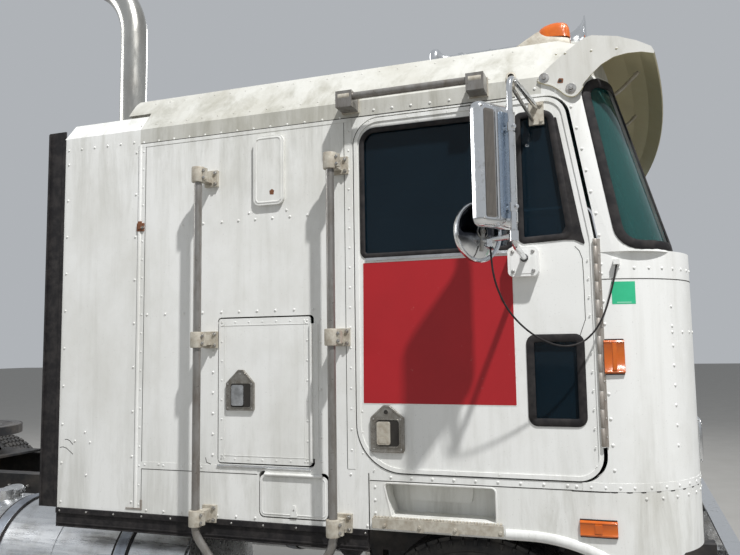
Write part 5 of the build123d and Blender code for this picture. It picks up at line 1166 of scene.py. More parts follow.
def arc_path(points, radius, steps=7):
    """A line of 3-D points with rounded corners."""
    pts = [Vector(p) for p in points]
    out = [pts[0]]
    for a, p, b in zip(pts, pts[1:], pts[2:]):
        ua, ub = (a - p).normalized(), (b - p).normalized()
        half = ua.angle(ub) / 2
        d = min(radius / tan(half), (a - p).length * 0.49, (b - p).length * 0.49)
        start, end = p + ua * d, p + ub * d
        for i in range(steps + 1):
            t = i / steps
            out.append(start * (1 - t) ** 2 + p * (2 * t * (1 - t)) + end * t ** 2)
    return out + [pts[-1]]


# Across the mirror's head, and out of its glass
TURN = radians(37)
MIRROR_WIDE = Vector((-sin(TURN), -cos(TURN), 0))
MIRROR_GLASS = Vector((-cos(TURN), sin(TURN), 0))


def mirror_set(side):
    """West-coast mirror with its loop, the convex mirror under it and the bracket box on the door."""
    body = "door_" + side
    x, y = LOOP_X, LOOP_Y
    kit = Kit("mirror_frame_" + side, body, "chrome", "bright_metal", 35)

    def at(u, v, w):
        return Vector((2465, -1480, v)) + MIRROR_WIDE * u + MIRROR_GLASS * w

    loop = [(2579, -1192, 2606), (x, y, 2646), (x, y, 2042), (x, -1210, 2022)]
    kit.tube(arc_path(loop, 62), 11, 14, smooth=0)
    for z in (2450, 2170):
        kit.lathe(sleeve(11.2, 16, -16, 16), (x, y, z), UP, 16)
        kit.rod(Vector((x, y, z)), Vector((x, y, z)) + MIRROR_GLASS * 30, 9, 12)
        kit.nut(Vector((x, y, z)) - MIRROR_GLASS * 15, -MIRROR_GLASS, 8, 7)
    head = panel(-95, 95, 2102, 2540, 30, 8)
    rows = [(0, 20), (0, 4), (-2, -4), (-7, -13), (-16, -19), (-26, -21)]
    n = len(head)
    verts = [at(u, v, w) for d, w in rows for u, v in grown(head, d)]
    faces = []
    for k in range(len(rows) - 1):
        faces += [(k * n + i, k * n + (i + 1) % n, (k + 1) * n + (i + 1) % n, (k + 1) * n + i)
                  for i in range(n)]
    faces += [tuple((len(rows) - 1) * n + i for i in range(n)), tuple(reversed(range(n)))]
    kit.add(verts, faces)
    # the back: a dark ribbed panel beside a bright one painted blue-grey as a painted sky reflection, with a
    # ridge between them
    kit.use("vinyl").sheet(panel(24, 70, 2132, 2510, 8), at, -23, -20)
    for u in range(30, 68, 6):
        kit.sheet(panel(u, u + 2.4, 2140, 2502, 0), at, -24.2, -22.5)
    kit.use("dark_gap_and_shade").sheet(panel(6, 12, 2128, 2514, 0), at, -21.6, -20)
    kit.use("chrome").sheet(panel(13, 21, 2126, 2516, 3), at, -26.5, -20)
    kit.use("sky_reflection_metal").sheet(panel(-62, 3, 2134, 2508, 12), at, -22.6, -20)
    kit.use("steel")
    for u, v in ((-75, 2126), (-75, 2516), (78, 2126), (78, 2516)):
        kit.dome(at(u, v, -20.5), -MIRROR_GLASS, 4, 2)
    kit.use("rubber").strip([at(u, v, 20) for u, v in grown(head, -4)], MIRROR_GLASS, strip_profile(9, 2.2))
    kit.use("mirror_glass").sheet(grown(head, -7), at, 19.5, 21)
    # convex mirror: bright rim, a back painted with a reflection (dark above, bright below), bracket across
    # it
    disc = Vector((2392, -1420, 2101))
    kit.use("chrome").lathe([(95, 6), (99, 1), (105, 0), (108, 4), (108, 17), (105, 21.5), (99, 22),
                             (97, 18), (95, 6)], disc, MIRROR_GLASS, 48)
    kit.use("disc_back_painted_reflection").lathe([(0, -12), (30, -10.5), (60, -6), (84, 1), (97, 8)], disc, MIRROR_GLASS, 40)
    kit.use("mirror_glass").lathe([(98, 17), (80, 20), (50, 22.5), (0, 24)], disc, MIRROR_GLASS, 40)
    kit.use("steel")
    kit.lathe([(22, -15), (24, -14), (24, -8), (20, -6)], disc, MIRROR_GLASS, 24)
    kit.nut(disc - MIRROR_GLASS * 14, -MIRROR_GLASS, 9, 8)
    bowed = [disc - MIRROR_GLASS * w + Vector((0, 0, v))
             for v, w in ((-70, 2), (-34, 9), (0, 13), (34, 9), (70, 2))]
    kit.strip(bowed, -MIRROR_GLASS, ridge(9, 8, 4, -1), False)
    kit.use("chrome")
    kit.rod((x, y, 2070), (2384, -1414, 2070), 9, 12)
    kit.lathe(sleeve(11.2, 17, -18, 18), (x, y, 2070), UP, 16)
    kit.box((2420.5, 2439.5), (-1447.5, -1428.5), (2045, 2070))
    # clamp where the brace rod meets the loop
    kit.use("cast_arm")
    kit.lathe(sleeve(11.2, 18, -20, 20), (x, y + 52, 2640), (-0.19, 0.97, -0.13), 16)
    kit.box((2506, 2532), (y + 34, y + 68), (2606, 2640))
    kit.use("steel")
    kit.rod((x, y + 52, 2618), (2566, -1196, 2552), 7, 10)
    kit.nut((2532, y + 50, 2622), FORE, 8, 8)
    kit.nut((x, y + 34, 2618), RIGHT, 7, 7)
    box = Kit("mirror_bracket_" + side, body, "white_side", "white_paint", 45, bevel=3.0)
    box.plate(panel(2457, 2570, 1955, 2066, 20), 0, 44)
    box.plate(panel(2467, 2560, 1965, 2056, 14), 43, 45.5)
    box.use("steel")
    for u, v in ((2476, 1974), (2551, 1974), (2551, 2047), (2476, 2047)):
        box.nut(place_right(u, v, 45), RIGHT, 6, 5)
    box.use("cast_arm").box((2551, 2607), (-1194.5, -HALF), (2536, 2624))
    for v in (2548, 2612):
        box.nut((2597, -1194.5, v), RIGHT, 6, 6)
    box.use("rubber").lathe([(13, 0), (15, 2), (15, 18), (12, 22), (11.2, 22)], (x, -1230, 2024),
                            (0, 1, -0.07), 16)
    made = finish_side([kit, box], side)
    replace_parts(made[0], "mirror_" + side)


# Route of the right-hand mirror's heater cable, from the bracket to the corner's grommet, in metres
CABLE_ROUTE = [
    (2.430, -1.438, 2.044), (2.433, -1.442, 1.990), (2.440, -1.442, 1.935), (2.452, -1.426, 1.885),
    (2.476, -1.400, 1.825), (2.520, -1.362, 1.765), (2.580, -1.322, 1.716), (2.648, -1.284, 1.690),
    (2.712, -1.252, 1.700), (2.762, -1.230, 1.745), (2.797, -1.216, 1.810), (2.819, -1.206, 1.880),
    (2.835, -1.196, 1.940), (2.843, -1.186, 1.985),
]


def mirror_cord():
    """The cable that hangs from the right-hand mirror, as one smooth spline."""
    data = bpy.data.curves.new("mirror_cord", "CURVE")
    data.dimensions = "3D"
    data.bevel_depth = 0.0035
    data.bevel_resolution = 3
    data.resolution_u = 8
    data.use_fill_caps = True
    spline = data.splines.new("NURBS")
    spline.points.add(len(CABLE_ROUTE) - 1)
    for point, place in zip(spline.points, CABLE_ROUTE):
        point.co = (*place, 1)
    spline.order_u = 3
    spline.use_endpoint_u = True
    data.materials.append(MATS["rubber"])
    cord = bpy.data.objects.new("mirror_cord", data)
    SCENE.collection.objects.link(cord)
    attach(cord, "cab")
    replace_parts(cord, "mirror_cable")
    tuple(CABLE_ROUTE[0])


def roof_top(y):
    """Height of the crowned roof skin at a distance from the middle."""
    sag, e = 51.0, 1030.0
    r = (e * e + sag * sag) / (2 * sag)
    return 2972 - r + sqrt(max(0.0, r * r - y * y))


def lamp_set():
    """Roof markers, corner turn lamps, low markers and headlamps."""
    kit = Kit("lamp_set", "cab", "amber", "lens", 40, bevel=1.0)

    def bulge(stations, y, base):
        """Closed skin over half-round sections: place along x, height, half width and foot height."""
        rows, n = [], 13
        for x, h, w, foot in stations:
            row = []
            for i in range(n):
                a = pi * i / (n - 1)
                c, d = cos(a), sin(a)
                row.append(Vector((x, y + w * abs(c) ** 0.75 * (1 if c > 0 else -1),
                                   base + foot + (h - foot) * d ** 0.6)))
            rows.append(row)
        verts = [v for row in rows for v in row]
        faces = [(k * n + i, k * n + i + 1, (k + 1) * n + i + 1, (k + 1) * n + i)
                 for k in range(len(rows) - 1) for i in range(n - 1)]
        faces += [tuple(range(n)), tuple(reversed(range(len(verts) - n, len(verts))))]
        faces += [(k * n, (k + 1) * n, (k + 2) * n - 1, (k + 1) * n - 1) for k in range(len(rows) - 1)]
        kit.add(verts, faces)

    for y in (-960, -260, 0, 260, 960):
        base = roof_top(y)
        kit.use("cast_arm")
        bulge([(2452, -10, 8, -26), (2466, 6, 22, -26), (2492, 22, 34, -27), (2530, 44, 43, -28),
               (2566, 64, 47, -30), (2588, 72, 48, -32), (2612, 66, 48, -33), (2650, 50, 48, -34),
               (2690, 32, 47, -36), (2704, 20, 45, -36)], y, base)
        kit.use("amber")
        bulge([(2584, 70, 34, 40), (2590, 78, 40, 34), (2606, 87, 43, 30), (2630, 94, 44, 28),
               (2655, 96, 44, 26), (2678, 93, 43, 24), (2694, 84, 41, 22), (2702, 68, 37, 20),
               (2705, 50, 32, 18)], y, base)
        kit.use("steel")
        for u in (2500, 2568):
            kit.dome((u, y - 42, base + (u - 2500) * 0.2 + 4), (-0.2, -0.8, 0.5), 4, 2)
            kit.dome((u, y + 42, base + (u - 2500) * 0.2 + 4), (-0.2, 0.8, 0.5), 4, 2)
    side = Kit("side_lamps", "cab", "amber", "lens", 40, bevel=1.0)
    for z0, z1, s0, s1, out in ((1592, 1713, 24, 94, 13), (1016, 1072, -84, 44, 13)):
        steps = [s0 + (s1 - s0) * i / 10 for i in range(11)]
        pts = [(corner_point(s)[0], corner_point(s)[1], (z0 + z1) / 2) for s in steps]
        outs = [corner_point(s)[2] for s in steps]
        h = (z1 - z0) / 2
        side.use("amber").strip(pts, outs, [(-h, 0), (-h + 1, out * 0.7), (-h + 7, out),
                                            (-h + 11, out * 0.8), (0, out * 0.9), (h - 11, out * 0.8),
                                            (h - 7, out), (h - 1, out * 0.7), (h, 0)], False)
        side.strip(pts[4:7], outs[4:7], [(-h + 10, out * 0.6), (-h + 12, out + 1), (h - 12, out + 1),
                                         (h - 10, out * 0.6)], False)
        side.use("rubber").strip(pts, outs, [(-h - 4, -1), (-h - 4, 3), (h + 4, 3), (h + 4, -1)], False)
    for cy in (-665, -775):
        frame = panel(cy - 50, cy + 50, 1264, 1376, 10)
        side.use("chrome").strip([(3122, u, v) for u, v in grown(frame, -2)], FORE,
                                 even((-6, 0), (-5, 5), (0, 7)))
        side.lathe([(0, -16), (18, -14), (36, -8), (46, -1)], (3122, cy, 1320), FORE, 32)
        side.use("lamp_glass").sheet(grown(frame, -6), lambda u, v, w: Vector((3122 + w, u, v)), 2, 5)
        side.use("steel")
        for u in (cy - 46, cy + 46):
            side.dome((3128, u, 1382), FORE, 4, 2)
    side.use("chrome")
    for z0, z1 in ((1240, 1262), (1378, 1400)):
        side.box((3100, 3122), (-830, -610), (z0, z1))
    for y0, y1 in ((-830, -826), (-724, -716), (-614, -610)):
        side.box((3100, 3122), (y0, y1), (1262, 1378))
    side.box((3052, 3100), (-828, -612), (1242, 1398))
    side.strip([(3122, u, v) for u, v in panel(-827, -613, 1243, 1397, 12)], FORE,
               even((-5, -6), (-5, 3), (0, 5)))
    side.mirrored()
    base = len(kit.verts)
    kit.verts += side.verts
    kit.faces += [tuple(base + i for i in f) for f in side.faces]
    for look in side.looks:
        kit.use(look)
    kit.slots += [kit.looks.index(side.looks[i]) for i in side.slots]
    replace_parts(kit.done(), "lamps")


def horn_piece():
    """Long trumpet on two posts, with its air pipe."""
    kit = Kit("air_horn_shape", "cab", "chrome", "bright_metal", 40)
    z, y = 3058.0, -680.0
    profile = [(0, 0), (38, 0), (50, 5), (54, 14), (54, 30), (46, 40), (30, 50), (20, 66), (15, 94),
               (15, 500), (17, 552), (23, 602), (32, 636), (46, 664), (66, 686), (90, 700), (101, 704),
               (102, 708), (98, 709), (84, 701), (58, 684), (38, 654), (20, 600), (0, 580)]
    kit.lathe(profile, (2050, y, z), FORE, 40)
    kit.lathe(sleeve(15, 19, -5, 5), (2330, y, z), FORE, 24)
    for x in (2190, 2520):
        base = roof_top(y) - 2
        kit.rod((x, y, base + 4), (x, y, z - 12), 11, 16)
        kit.lathe([(34, 0), (34, 5), (18, 12), (11, 13)], (x, y, base), UP, 24)
        kit.lathe(sleeve(16, 21, -11, 11), (x, y, z), FORE, 24)
        kit.use("steel")
        for v in (-24, 24):
            kit.nut((x, y + v, base + 5), UP, 5, 5)
        kit.use("chrome")
    kit.use("steel").tube([(2066, y, z - 48), (2060, y, z - 70), (2056, y, z - 90),
                           (2056, y, roof_top(y) - 4)], 5, 8)
    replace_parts(kit.done(), "air_horn")


def visor_trim():
    """End bolts, rivets, a rust spot, the rolled lip and the brackets of the visor."""
    kit = Kit("visor_details", "cab", "steel", "steel", 45, bevel=0.6)
    for u, v in ((2613, 2717), (2711, 2664)):
        kit.lathe([(19, 0), (20, 1.5), (19, 3), (9, 3.4)], (u, -1186, v), RIGHT, 24)
        kit.nut((u, -1188, v), RIGHT, 7.5, 7)
    kit.use("white_visor")
    for u, v in ((2661, 2805), (2695, 2804), (2790, 2800), (2880, 2795)):
        kit.dome((u, -1186, v), RIGHT, 5, 2.4)
    # a rust spot, and the hole in its middle
    rust = rounded([(2660, 2690), (2683, 2688), (2685, 2706), (2668, 2709)], 4)
    hole = rounded([(2664, 2693), (2678, 2692), (2679, 2702), (2669, 2704)], 3)
    kit.use("rust").plate(rust, 6, 6.7)
    kit.use("dark_gap_and_shade").plate(hole, 6.5, 7)
    edge = [(2590, 2712), (2605, 2700), (2639, 2687), (2669, 2665), (2692, 2643), (2716, 2634),
            (2735, 2643), (2754, 2667)]
    lip = soften([place_right(u, v, 0) for u, v in edge], 3)
    kit.use("white_visor").strip(lip, RIGHT, ridge(4, 3, 7.4, -1), False)
    kit.use("cast_arm")
    for y in (-900, -300):
        kit.tube([(2962, y, 2796), (2925, y, 2762), (2880, y, 2722), (2846, y, 2706)], 8, 10)
        kit.lathe([(18, 0), (18, 4), (9, 6)], (2846, y, 2706), (0.96, 0, 0.28), 20)
        kit.nut((2950, y, 2792), (0, 0, -1), 8, 7)
    kit.mirrored().done()


def roof_trim():
    """Rivet rows, lap strips with their lines, and the hatch."""
    kit = Kit("roof_rivets", "cab", "white_roof", "white_paint", 60)
    for y in range(-980, 1, 70):
        for x in (700, 1120, 1600, 2080):
            z = roof_top(y)
            kit.dome((x, y, z), (0, y / ROOF_R, 1), *LOW_RIVET)
    for x in range(760, 2560, 82):
        kit.dome((x, -1050, 2894), EAVE_OUT, *LOW_RIVET)
        kit.dome((x, -1160, 2752), EAVE_OUT, *LOW_RIVET)
    lap = Kit("roof_laps", "cab", "white_roof", "white_paint", 50)
    gap = Kit("roof_lines", "cab", "dark_gap_and_shade", None, 50)
    for x in (715, 1135, 1615, 2095):
        row = [(x, y, roof_top(y)) for y in range(-1015, 1016, 70)]
        lap.strip(row, UP, ridge(16, 15, 1.6, -1), False)
        gap.strip([(p[0] + 18, p[1], p[2]) for p in row], UP, ridge(1.6, 1.4, 0.8, -1), False)
    kit.mirrored().done()
    lap.done()
    gap.done()
    vent = Kit("roof_hatch", "cab", "white_roof", "white_paint", 45, bevel=4.0)
    top = roof_top(0)
    vent.sheet(panel(1240, 1500, -250, 250, 40, 6), place_top, top - 12, top + 26)
    vent.use("rubber").sheet(panel(1230, 1510, -260, 260, 44, 6), place_top, top - 14, top + 6)
    vent.done()


def stack_trim():
    """Clamp bands of the stack and the scales of its heat shield."""
    kit = Kit("stack_bands", "chassis", "steel", "steel", 40)
    x, y = 555, -960
    for z in (1310, 1500, 1900, 2300, 2470):
        kit.lathe(sleeve(110, 114, -14, 14), (x, y, z), UP, 48)
        kit.box((x - 13, x + 13), (-1096, -1072), (z - 12, z + 12))
        kit.nut((x + 13, -1084, z), FORE, 8, 8)
    kit.lathe(sleeve(65, 69, -24, 24), (x, y, 2530), UP, 36)
    kit.box((x - 10, x + 10), (-1042, -1026), (2520, 2540))
    kit.done()
    shield = Kit("heat_shield", "chassis", "stack", "bright_metal", 30)
    for k in range(22):
        z = 1340 + k * 50
        for i in range(18):
            a = pi * 0.5 + 2 * pi * (i + 0.5 * (k % 2)) / 18
            n = Vector((cos(a), sin(a), 0))
            at = Vector((x, y, z)) + n * 111
            side = Vector((-sin(a), cos(a), 0))
            verts = [at + side * u + Vector((0, 0, v)) + n * w for u, v, w in
                     ((-9, -17, -1), (9, -17, -1), (11, 0, -1), (9, 17, -1), (-9, 17, -1), (-11, 0, -1),
                      (-6, -12, 1.6), (6, -12, 1.6), (7, 0, 1.6), (6, 12, 1.6), (-6, 12, 1.6), (-7, 0, 1.6))]
            faces = [(j, (j + 1) % 6, 6 + (j + 1) % 6, 6 + j) for j in range(6)] + [(6, 7, 8, 9, 10, 11)]
            shield.add(verts, faces)
    shield.done()


def tank_trim():
    """Straps, end caps, fillers and brackets of the tanks."""
    kit = Kit("tank_details", "chassis", "aluminium", "aluminium", 35)
    y, z, r = -850.0, 630.0, 320.0
    for x in (-85, 655):
        kit.use("rubber").lathe(sleeve(r, r + 3.5, -44, 44), (x, y, z), FORE, 72)
        kit.use("strap_blue").lathe(sleeve(r + 3, r + 7.2, -28, 28), (x, y, z), FORE, 72)
        kit.use("steel").rod((x, y + 30, z + r + 14), (x, y + 110, z + r - 2), 8)
        kit.nut((x, y + 36, z + r + 12), RIGHT, 10, 12)
    kit.use("aluminium")
    for x in (-455, 1005):
        sign = -1 if x < 0 else 1
        kit.lathe([(r, -3), (r + 2.5, -1), (r + 2, 4), (r - 12, 7), (r * 0.7, 9), (0, 10)], (x, y, z),
                  (sign, 0, 0), 72)
    kit.lathe(sleeve(r, r + 2, -5, 5), (275, y, z), FORE, 72)
    kit.lathe([(0, 34), (52, 34), (58, 30), (58, 12), (50, 10), (50, -12)], (-255, y, z + r),
              (0, -0.25, 1), 36)
    for c, s in around(12):
        kit.rod((-255 + 58 * c, y + 58 * s, z + r + 14), (-255 + 58 * c, y + 58 * s, z + r + 30), 5, 8)
    # frame brackets that carry the tank, with their bolts
    kit.use("chassis")
    for x in (-85, 655):
        kit.box((x - 34, x - 26), (-560, -444), (560, 900))
        kit.box((x + 26, x + 34), (-560, -444), (560, 900))
        kit.use("steel")
        for v in (620, 720, 820):
            kit.nut((x - 34, -470, v), AFT, 9, 8)
        kit.use("chassis")
    kit.mirrored().done()


def tread(kit, y, rib, n):
    """Ribs and grooves of a road tyre: shallow shaped blocks over the tread."""
    top = 490.0
    bands = [(-118, -84), (-76, -44), (-36, -4), (4, 36), (44, 76), (84, 118)]
    for a0, a1 in bands:
        edge = abs(a0 + a1) > 150
        gap = 0.30 if not rib else 0.10
        for i in range(n):
            t0 = 2 * pi * (i + gap / 2) / n
            t1 = 2 * pi * (i + 1 - gap / 2) / n
            lean = 0.0 if edge else 0.35 * 2 * pi / n
            low = top - 14
            verts = []
            for rr, inset in ((low, 0.0), (top - 1.5, 0.0), (top, 0.03)):
                for a, t, s in ((a0, t0, 1), (a0, t1, -1), (a1, t1, -1), (a1, t0, 1)):
                    shift = lean * (a - a0) / (a1 - a0)
                    ang = t + s * inset * 2 * pi / n + shift
                    aa = a + (2 if a == a0 else -2) * (1 if inset else 0)
                    verts.append(Vector((rr * cos(ang), aa, rr * sin(ang))))
            faces = [(0, 1, 5, 4), (1, 2, 6, 5), (2, 3, 7, 6), (3, 0, 4, 7), (4, 5, 9, 8), (5, 6, 10, 9),
                     (6, 7, 11, 10), (7, 4, 8, 11), (8, 9, 10, 11)]
            kit.add([v + y for v in verts], faces)


def pad(name, body, low, high, turn=0.0, about=(0, 0, 0), channels=(), crown=0.10, power=7.0,
        steps=(14, 14, 5), look="cloth"):
    """Crowned cushion in a box, its sides drawn in between the corners, with sewn channels."""
    low, high = Vector(low), Vector(high)
    mid, half = (low + high) / 2, (high - low) / 2
    nx, ny, nz = steps
    work = bmesh.new()
    grid = {}

    def vert(i, j, k):
        key = (i, j, k)
        if key not in grid:
            u, v, w = 2 * i / nx - 1, 2 * j / ny - 1, 2 * k / nz - 1
            norm = (abs(u) ** power + abs(v) ** power + abs(w) ** power) ** (1 / power)
            scale = max(abs(u), abs(v), abs(w)) / norm
            x, y, z = u * scale, v * scale, w * scale
            pull = 0.025 * (1 - w * w)
            x *= 1 - pull * (1 - v * v)
            y *= 1 - pull * (1 - u * u)
            swell = (1 - u * u) * (1 - v * v)
            z += crown * (swell - 0.6) * (1 if w > 0 else 0) * abs(w)
            p = Vector((x * half.x, y * half.y, z * half.z))
            if w > 0:
                for axis, place, deep in channels:
                    d = (p.x if axis == "x" else p.y) - place
                    p.z -= deep * 2.718 ** (-(d / 9.0) ** 2) * w
            grid[key] = work.verts.new(p)
        return grid[key]

    for i in range(nx):
        for j in range(ny):
            work.faces.new([vert(i, j, nz), vert(i + 1, j, nz), vert(i + 1, j + 1, nz), vert(i, j + 1, nz)])
            work.faces.new([vert(i, j + 1, 0), vert(i + 1, j + 1, 0), vert(i + 1, j, 0), vert(i, j, 0)])
    for k in range(nz):
        for i in range(nx):
            work.faces.new([vert(i, 0, k), vert(i + 1, 0, k), vert(i + 1, 0, k + 1), vert(i, 0, k + 1)])
            work.faces.new([vert(i, ny, k + 1), vert(i + 1, ny, k + 1), vert(i + 1, ny, k), vert(i, ny, k)])
        for j in range(ny):
            work.faces.new([vert(0, j, k + 1), vert(0, j + 1, k + 1), vert(0, j + 1, k), vert(0, j, k)])
            work.faces.new([vert(nx, j, k), vert(nx, j + 1, k), vert(nx, j + 1, k + 1), vert(nx, j, k + 1)])
    bmesh.ops.recalc_face_normals(work, faces=work.faces)
    spin = Matrix.Rotation(radians(turn), 3, "Y")
    about = Vector(about)
    for v in work.verts:
        p = v.co + mid
        v.co = (spin @ (p - about) + about) * MM
    mesh = bpy.data.meshes.new(name)
    work.to_mesh(mesh)
    work.free()
    mesh.materials.append(MATS[look])
    mesh.polygons.foreach_set("use_smooth", [True] * len(mesh.polygons))
    piece = bpy.data.objects.new(name, mesh)
    SCENE.collection.objects.link(piece)
    level = piece.modifiers.new("smooth", "SUBSURF")
    level.levels = level.render_levels = 1
    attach(piece, body)
    return piece


def interior():
    """Cushions, seat frames, dash instruments, gear lever and wheel grips."""
    made = []
    for side, y in (("right", -700), ("left", 700)):
        made.append(pad("seat_cushion_" + side, "cab", (1922, y - 246, 1424), (2398, y + 246, 1568),
                        channels=[("y", -150, 9), ("y", 150, 9), ("x", -60, 6), ("x", 60, 6)],
                        steps=(26, 26, 5)))
        made.append(pad("seat_back_" + side, "cab", (1500, y - 242, 1560), (2180, y + 242, 1680), turn=-81,
                        about=(1900, 0, 1500), channels=[("y", -150, 9), ("y", 150, 9), ("x", 120, 7),
                                                         ("x", 0, 7), ("x", -120, 7)], steps=(34, 26, 5)))
    made.append(pad("berth_mattress", "cab", (838, -1112, 1866), (1516, 1112, 1992),
                    channels=[("y", v, 7) for v in (-750, -375, 0, 375, 750)], steps=(22, 60, 5), power=9))
    made.append(pad("berth_pillow", "cab", (900, -1080, 1990), (1250, -560, 2100), channels=(), crown=0.5,
                    power=4, steps=(16, 20, 6), look="liner"))
    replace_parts(made[0], "seats")
    kit = Kit("seat_frames", "cab", "vinyl", "trim", 40, bevel=3.0)
    for y in (-700, 700):
        kit.box((1930, 2380), (y - 225, y + 225), (1395, 1424))
        kit.box((1876, 1930), (y - 215, y + 215), (1410, 1470))
        for s in (-1, 1):
            kit.box((1900, 1940), (y + s * 228 - 8, y + s * 228 + 8), (1400, 1560))
    kit.done()
    dash = Kit("dash_details", "cab", "vinyl", "trim", 40, bevel=2.0)
    for y in (400, 470, 540, 610, 680):
        at = Vector((2759, y, 1850))
        dash.use("chrome").lathe([(26, 0), (30, 3), (28, 6), (25, 5)], at, (-1, 0, 0.1), 28)
        dash.use("dark_gap_and_shade").lathe([(25, 2), (0, 2)], at, (-1, 0, 0.1), 28)
        dash.use("sign_white").box((2755.5, 2756.5), (y - 1, y + 1), (1850, 1868))
    dash.use("vinyl")
    dash.sheet(panel(-1040, -560, 1822, 1884, 12), lambda u, v, w: Vector((2760 - w, u, v)), 0, 6)
    dash.use("tube_grey")
    dash.lathe([(0, 0), (7, 0), (8, 10), (6, 250), (18, 268), (24, 290), (18, 310), (0, 316)],
               (2420, 300, 1700), (-0.15, 0, 1), 20)
    dash.use("vinyl").lathe([(60, 0), (46, 18), (18, 34), (8, 40)], (2420, 300, 1698), UP, 24)
    dash.done()
    wheel = Kit("hand_wheel_grips", "hand_wheel", "vinyl", "trim", 50)
    axis = Vector((-0.5, 0, 0.866025))
    a, b = Vector((0, 1, 0)), axis.cross(Vector((0, 1, 0)))
    centre = Vector((2560, 540, 1880))
    for c, s in around(48):
        at = centre + a * (225 * c) + b * (225 * s)
        along = (-a * s + b * c).normalized()
        wheel.lathe(sleeve(14.2, 15.4, -5, 5, 2), at, along, 12)
    wheel.use("chrome").lathe([(50, 4), (50, 10), (40, 16), (0, 18)], centre, axis, 32)
    wheel.done()


def rim_dress(name, body, x, y, sign, front):
    """Nuts and hub cap on a wheel."""
    kit = Kit(name + "_hub", body, "steel", "steel", 40)
    out = Vector((0, sign, 0))
    for c, s in around(10):
        at = Vector((x + 142.9 * c, y, WHEEL_Z + 142.9 * s))
        kit.nut(at, out, 16, 18)
        kit.rod(at + out * 18, at + out * 27, 8, 8)
    kit.use("chrome" if front else "chassis")
    if front:
        kit.lathe([(96, 0), (98, 30), (84, 62), (60, 78), (24, 84), (0, 85)], (x, y, WHEEL_Z), out, 40)
    else:
        kit.lathe([(104, 0), (104, 60), (96, 74), (70, 80), (30, 82), (0, 82)], (x, y, WHEEL_Z), out, 40)
        kit.use("steel")
        for c, s in around(8, 0.5):
            kit.nut((x + 84 * c, y + sign * 74, WHEEL_Z + 84 * s), out, 9, 12)
    kit.done()


# Half of a tyre's section: radius and distance from its middle
TYRE_HALF = [(286, 110), (303, 111), (318, 122), (336, 130.5), (338, 133), (346, 133), (349, 131),
             (372, 138.5), (400, 140), (420, 139), (423, 141), (431, 140.5), (434, 137), (452, 132),
             (468, 125), (477, 116), (477, 112)]
# Corners of a shoulder block: along the rim, outward from the hub, sideways
SHOULDER = [(8, 14, -7), (-8, 14, -7), (-8, -10, 3), (8, -10, 3), (5, 12, 1), (-5, 12, 1),
            (-5, -6, 8), (5, -6, 8)]


def tyre_piece(name, body, node, x, centres, front):
    """Section, tread and shoulder blocks of one or two tyres on a body."""
    kit = Kit(name, body, "tyre", "tyre", 28)
    profile = [(r, -d) for r, d in TYRE_HALF] + [(477, 0)] + [(r, d) for r, d in reversed(TYRE_HALF)]
    for y in centres:
        origin = Vector((x, y, WHEEL_Z))
        kit.lathe(profile, origin, (0, 1, 0), 96)
        tread(kit, origin, front, 60 if front else 52)
        # shoulder blocks
        for cosine, sine in around(60):
            for s in (-1, 1):
                n = Vector((cosine, 0, sine))
                a = Vector((-sine, 0, cosine))
                p = origin + n * 462 + Vector((0, s * 127, 0))
                verts = [p + a * u + n * v + Vector((0, s * w, 0)) for u, v, w in SHOULDER]
                kit.add(verts, [(4, 5, 6, 7), (0, 1, 5, 4), (1, 2, 6, 5), (2, 3, 7, 6), (3, 0, 4, 7)])
    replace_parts(kit.done(), node)


def wheels():
    for side, sign in (("right", -1), ("left", 1)):
        body = "front_wheel_" + side
        tyre_piece("steer_tyre_" + side, body, "front_tyre_" + side, STEER_X, [sign * 1015], True)
        rim_dress("steer_" + side, body, STEER_X, sign * 1127, sign, True)
        for axle, x in DRIVE_X.items():
            body = f"{axle}_wheel_{side}"
            twins = [sign * (907 - 171.5), sign * (907 + 171.5)]
            tyre_piece(f"{axle}_tyres_{side}", body, f"{axle}_tyre_{side}", x, twins, False)
            rim_dress(f"{axle}_{side}", body, x, sign * 940, sign, False)


# Loop of a tow hook: forward, across from its middle, up
TOW_HOOK = [(3272, -34, 520), (3300, -34, 525), (3318, -18, 532), (3322, 0, 536), (3318, 18, 532),
            (3300, 34, 525), (3272, 34, 520)]


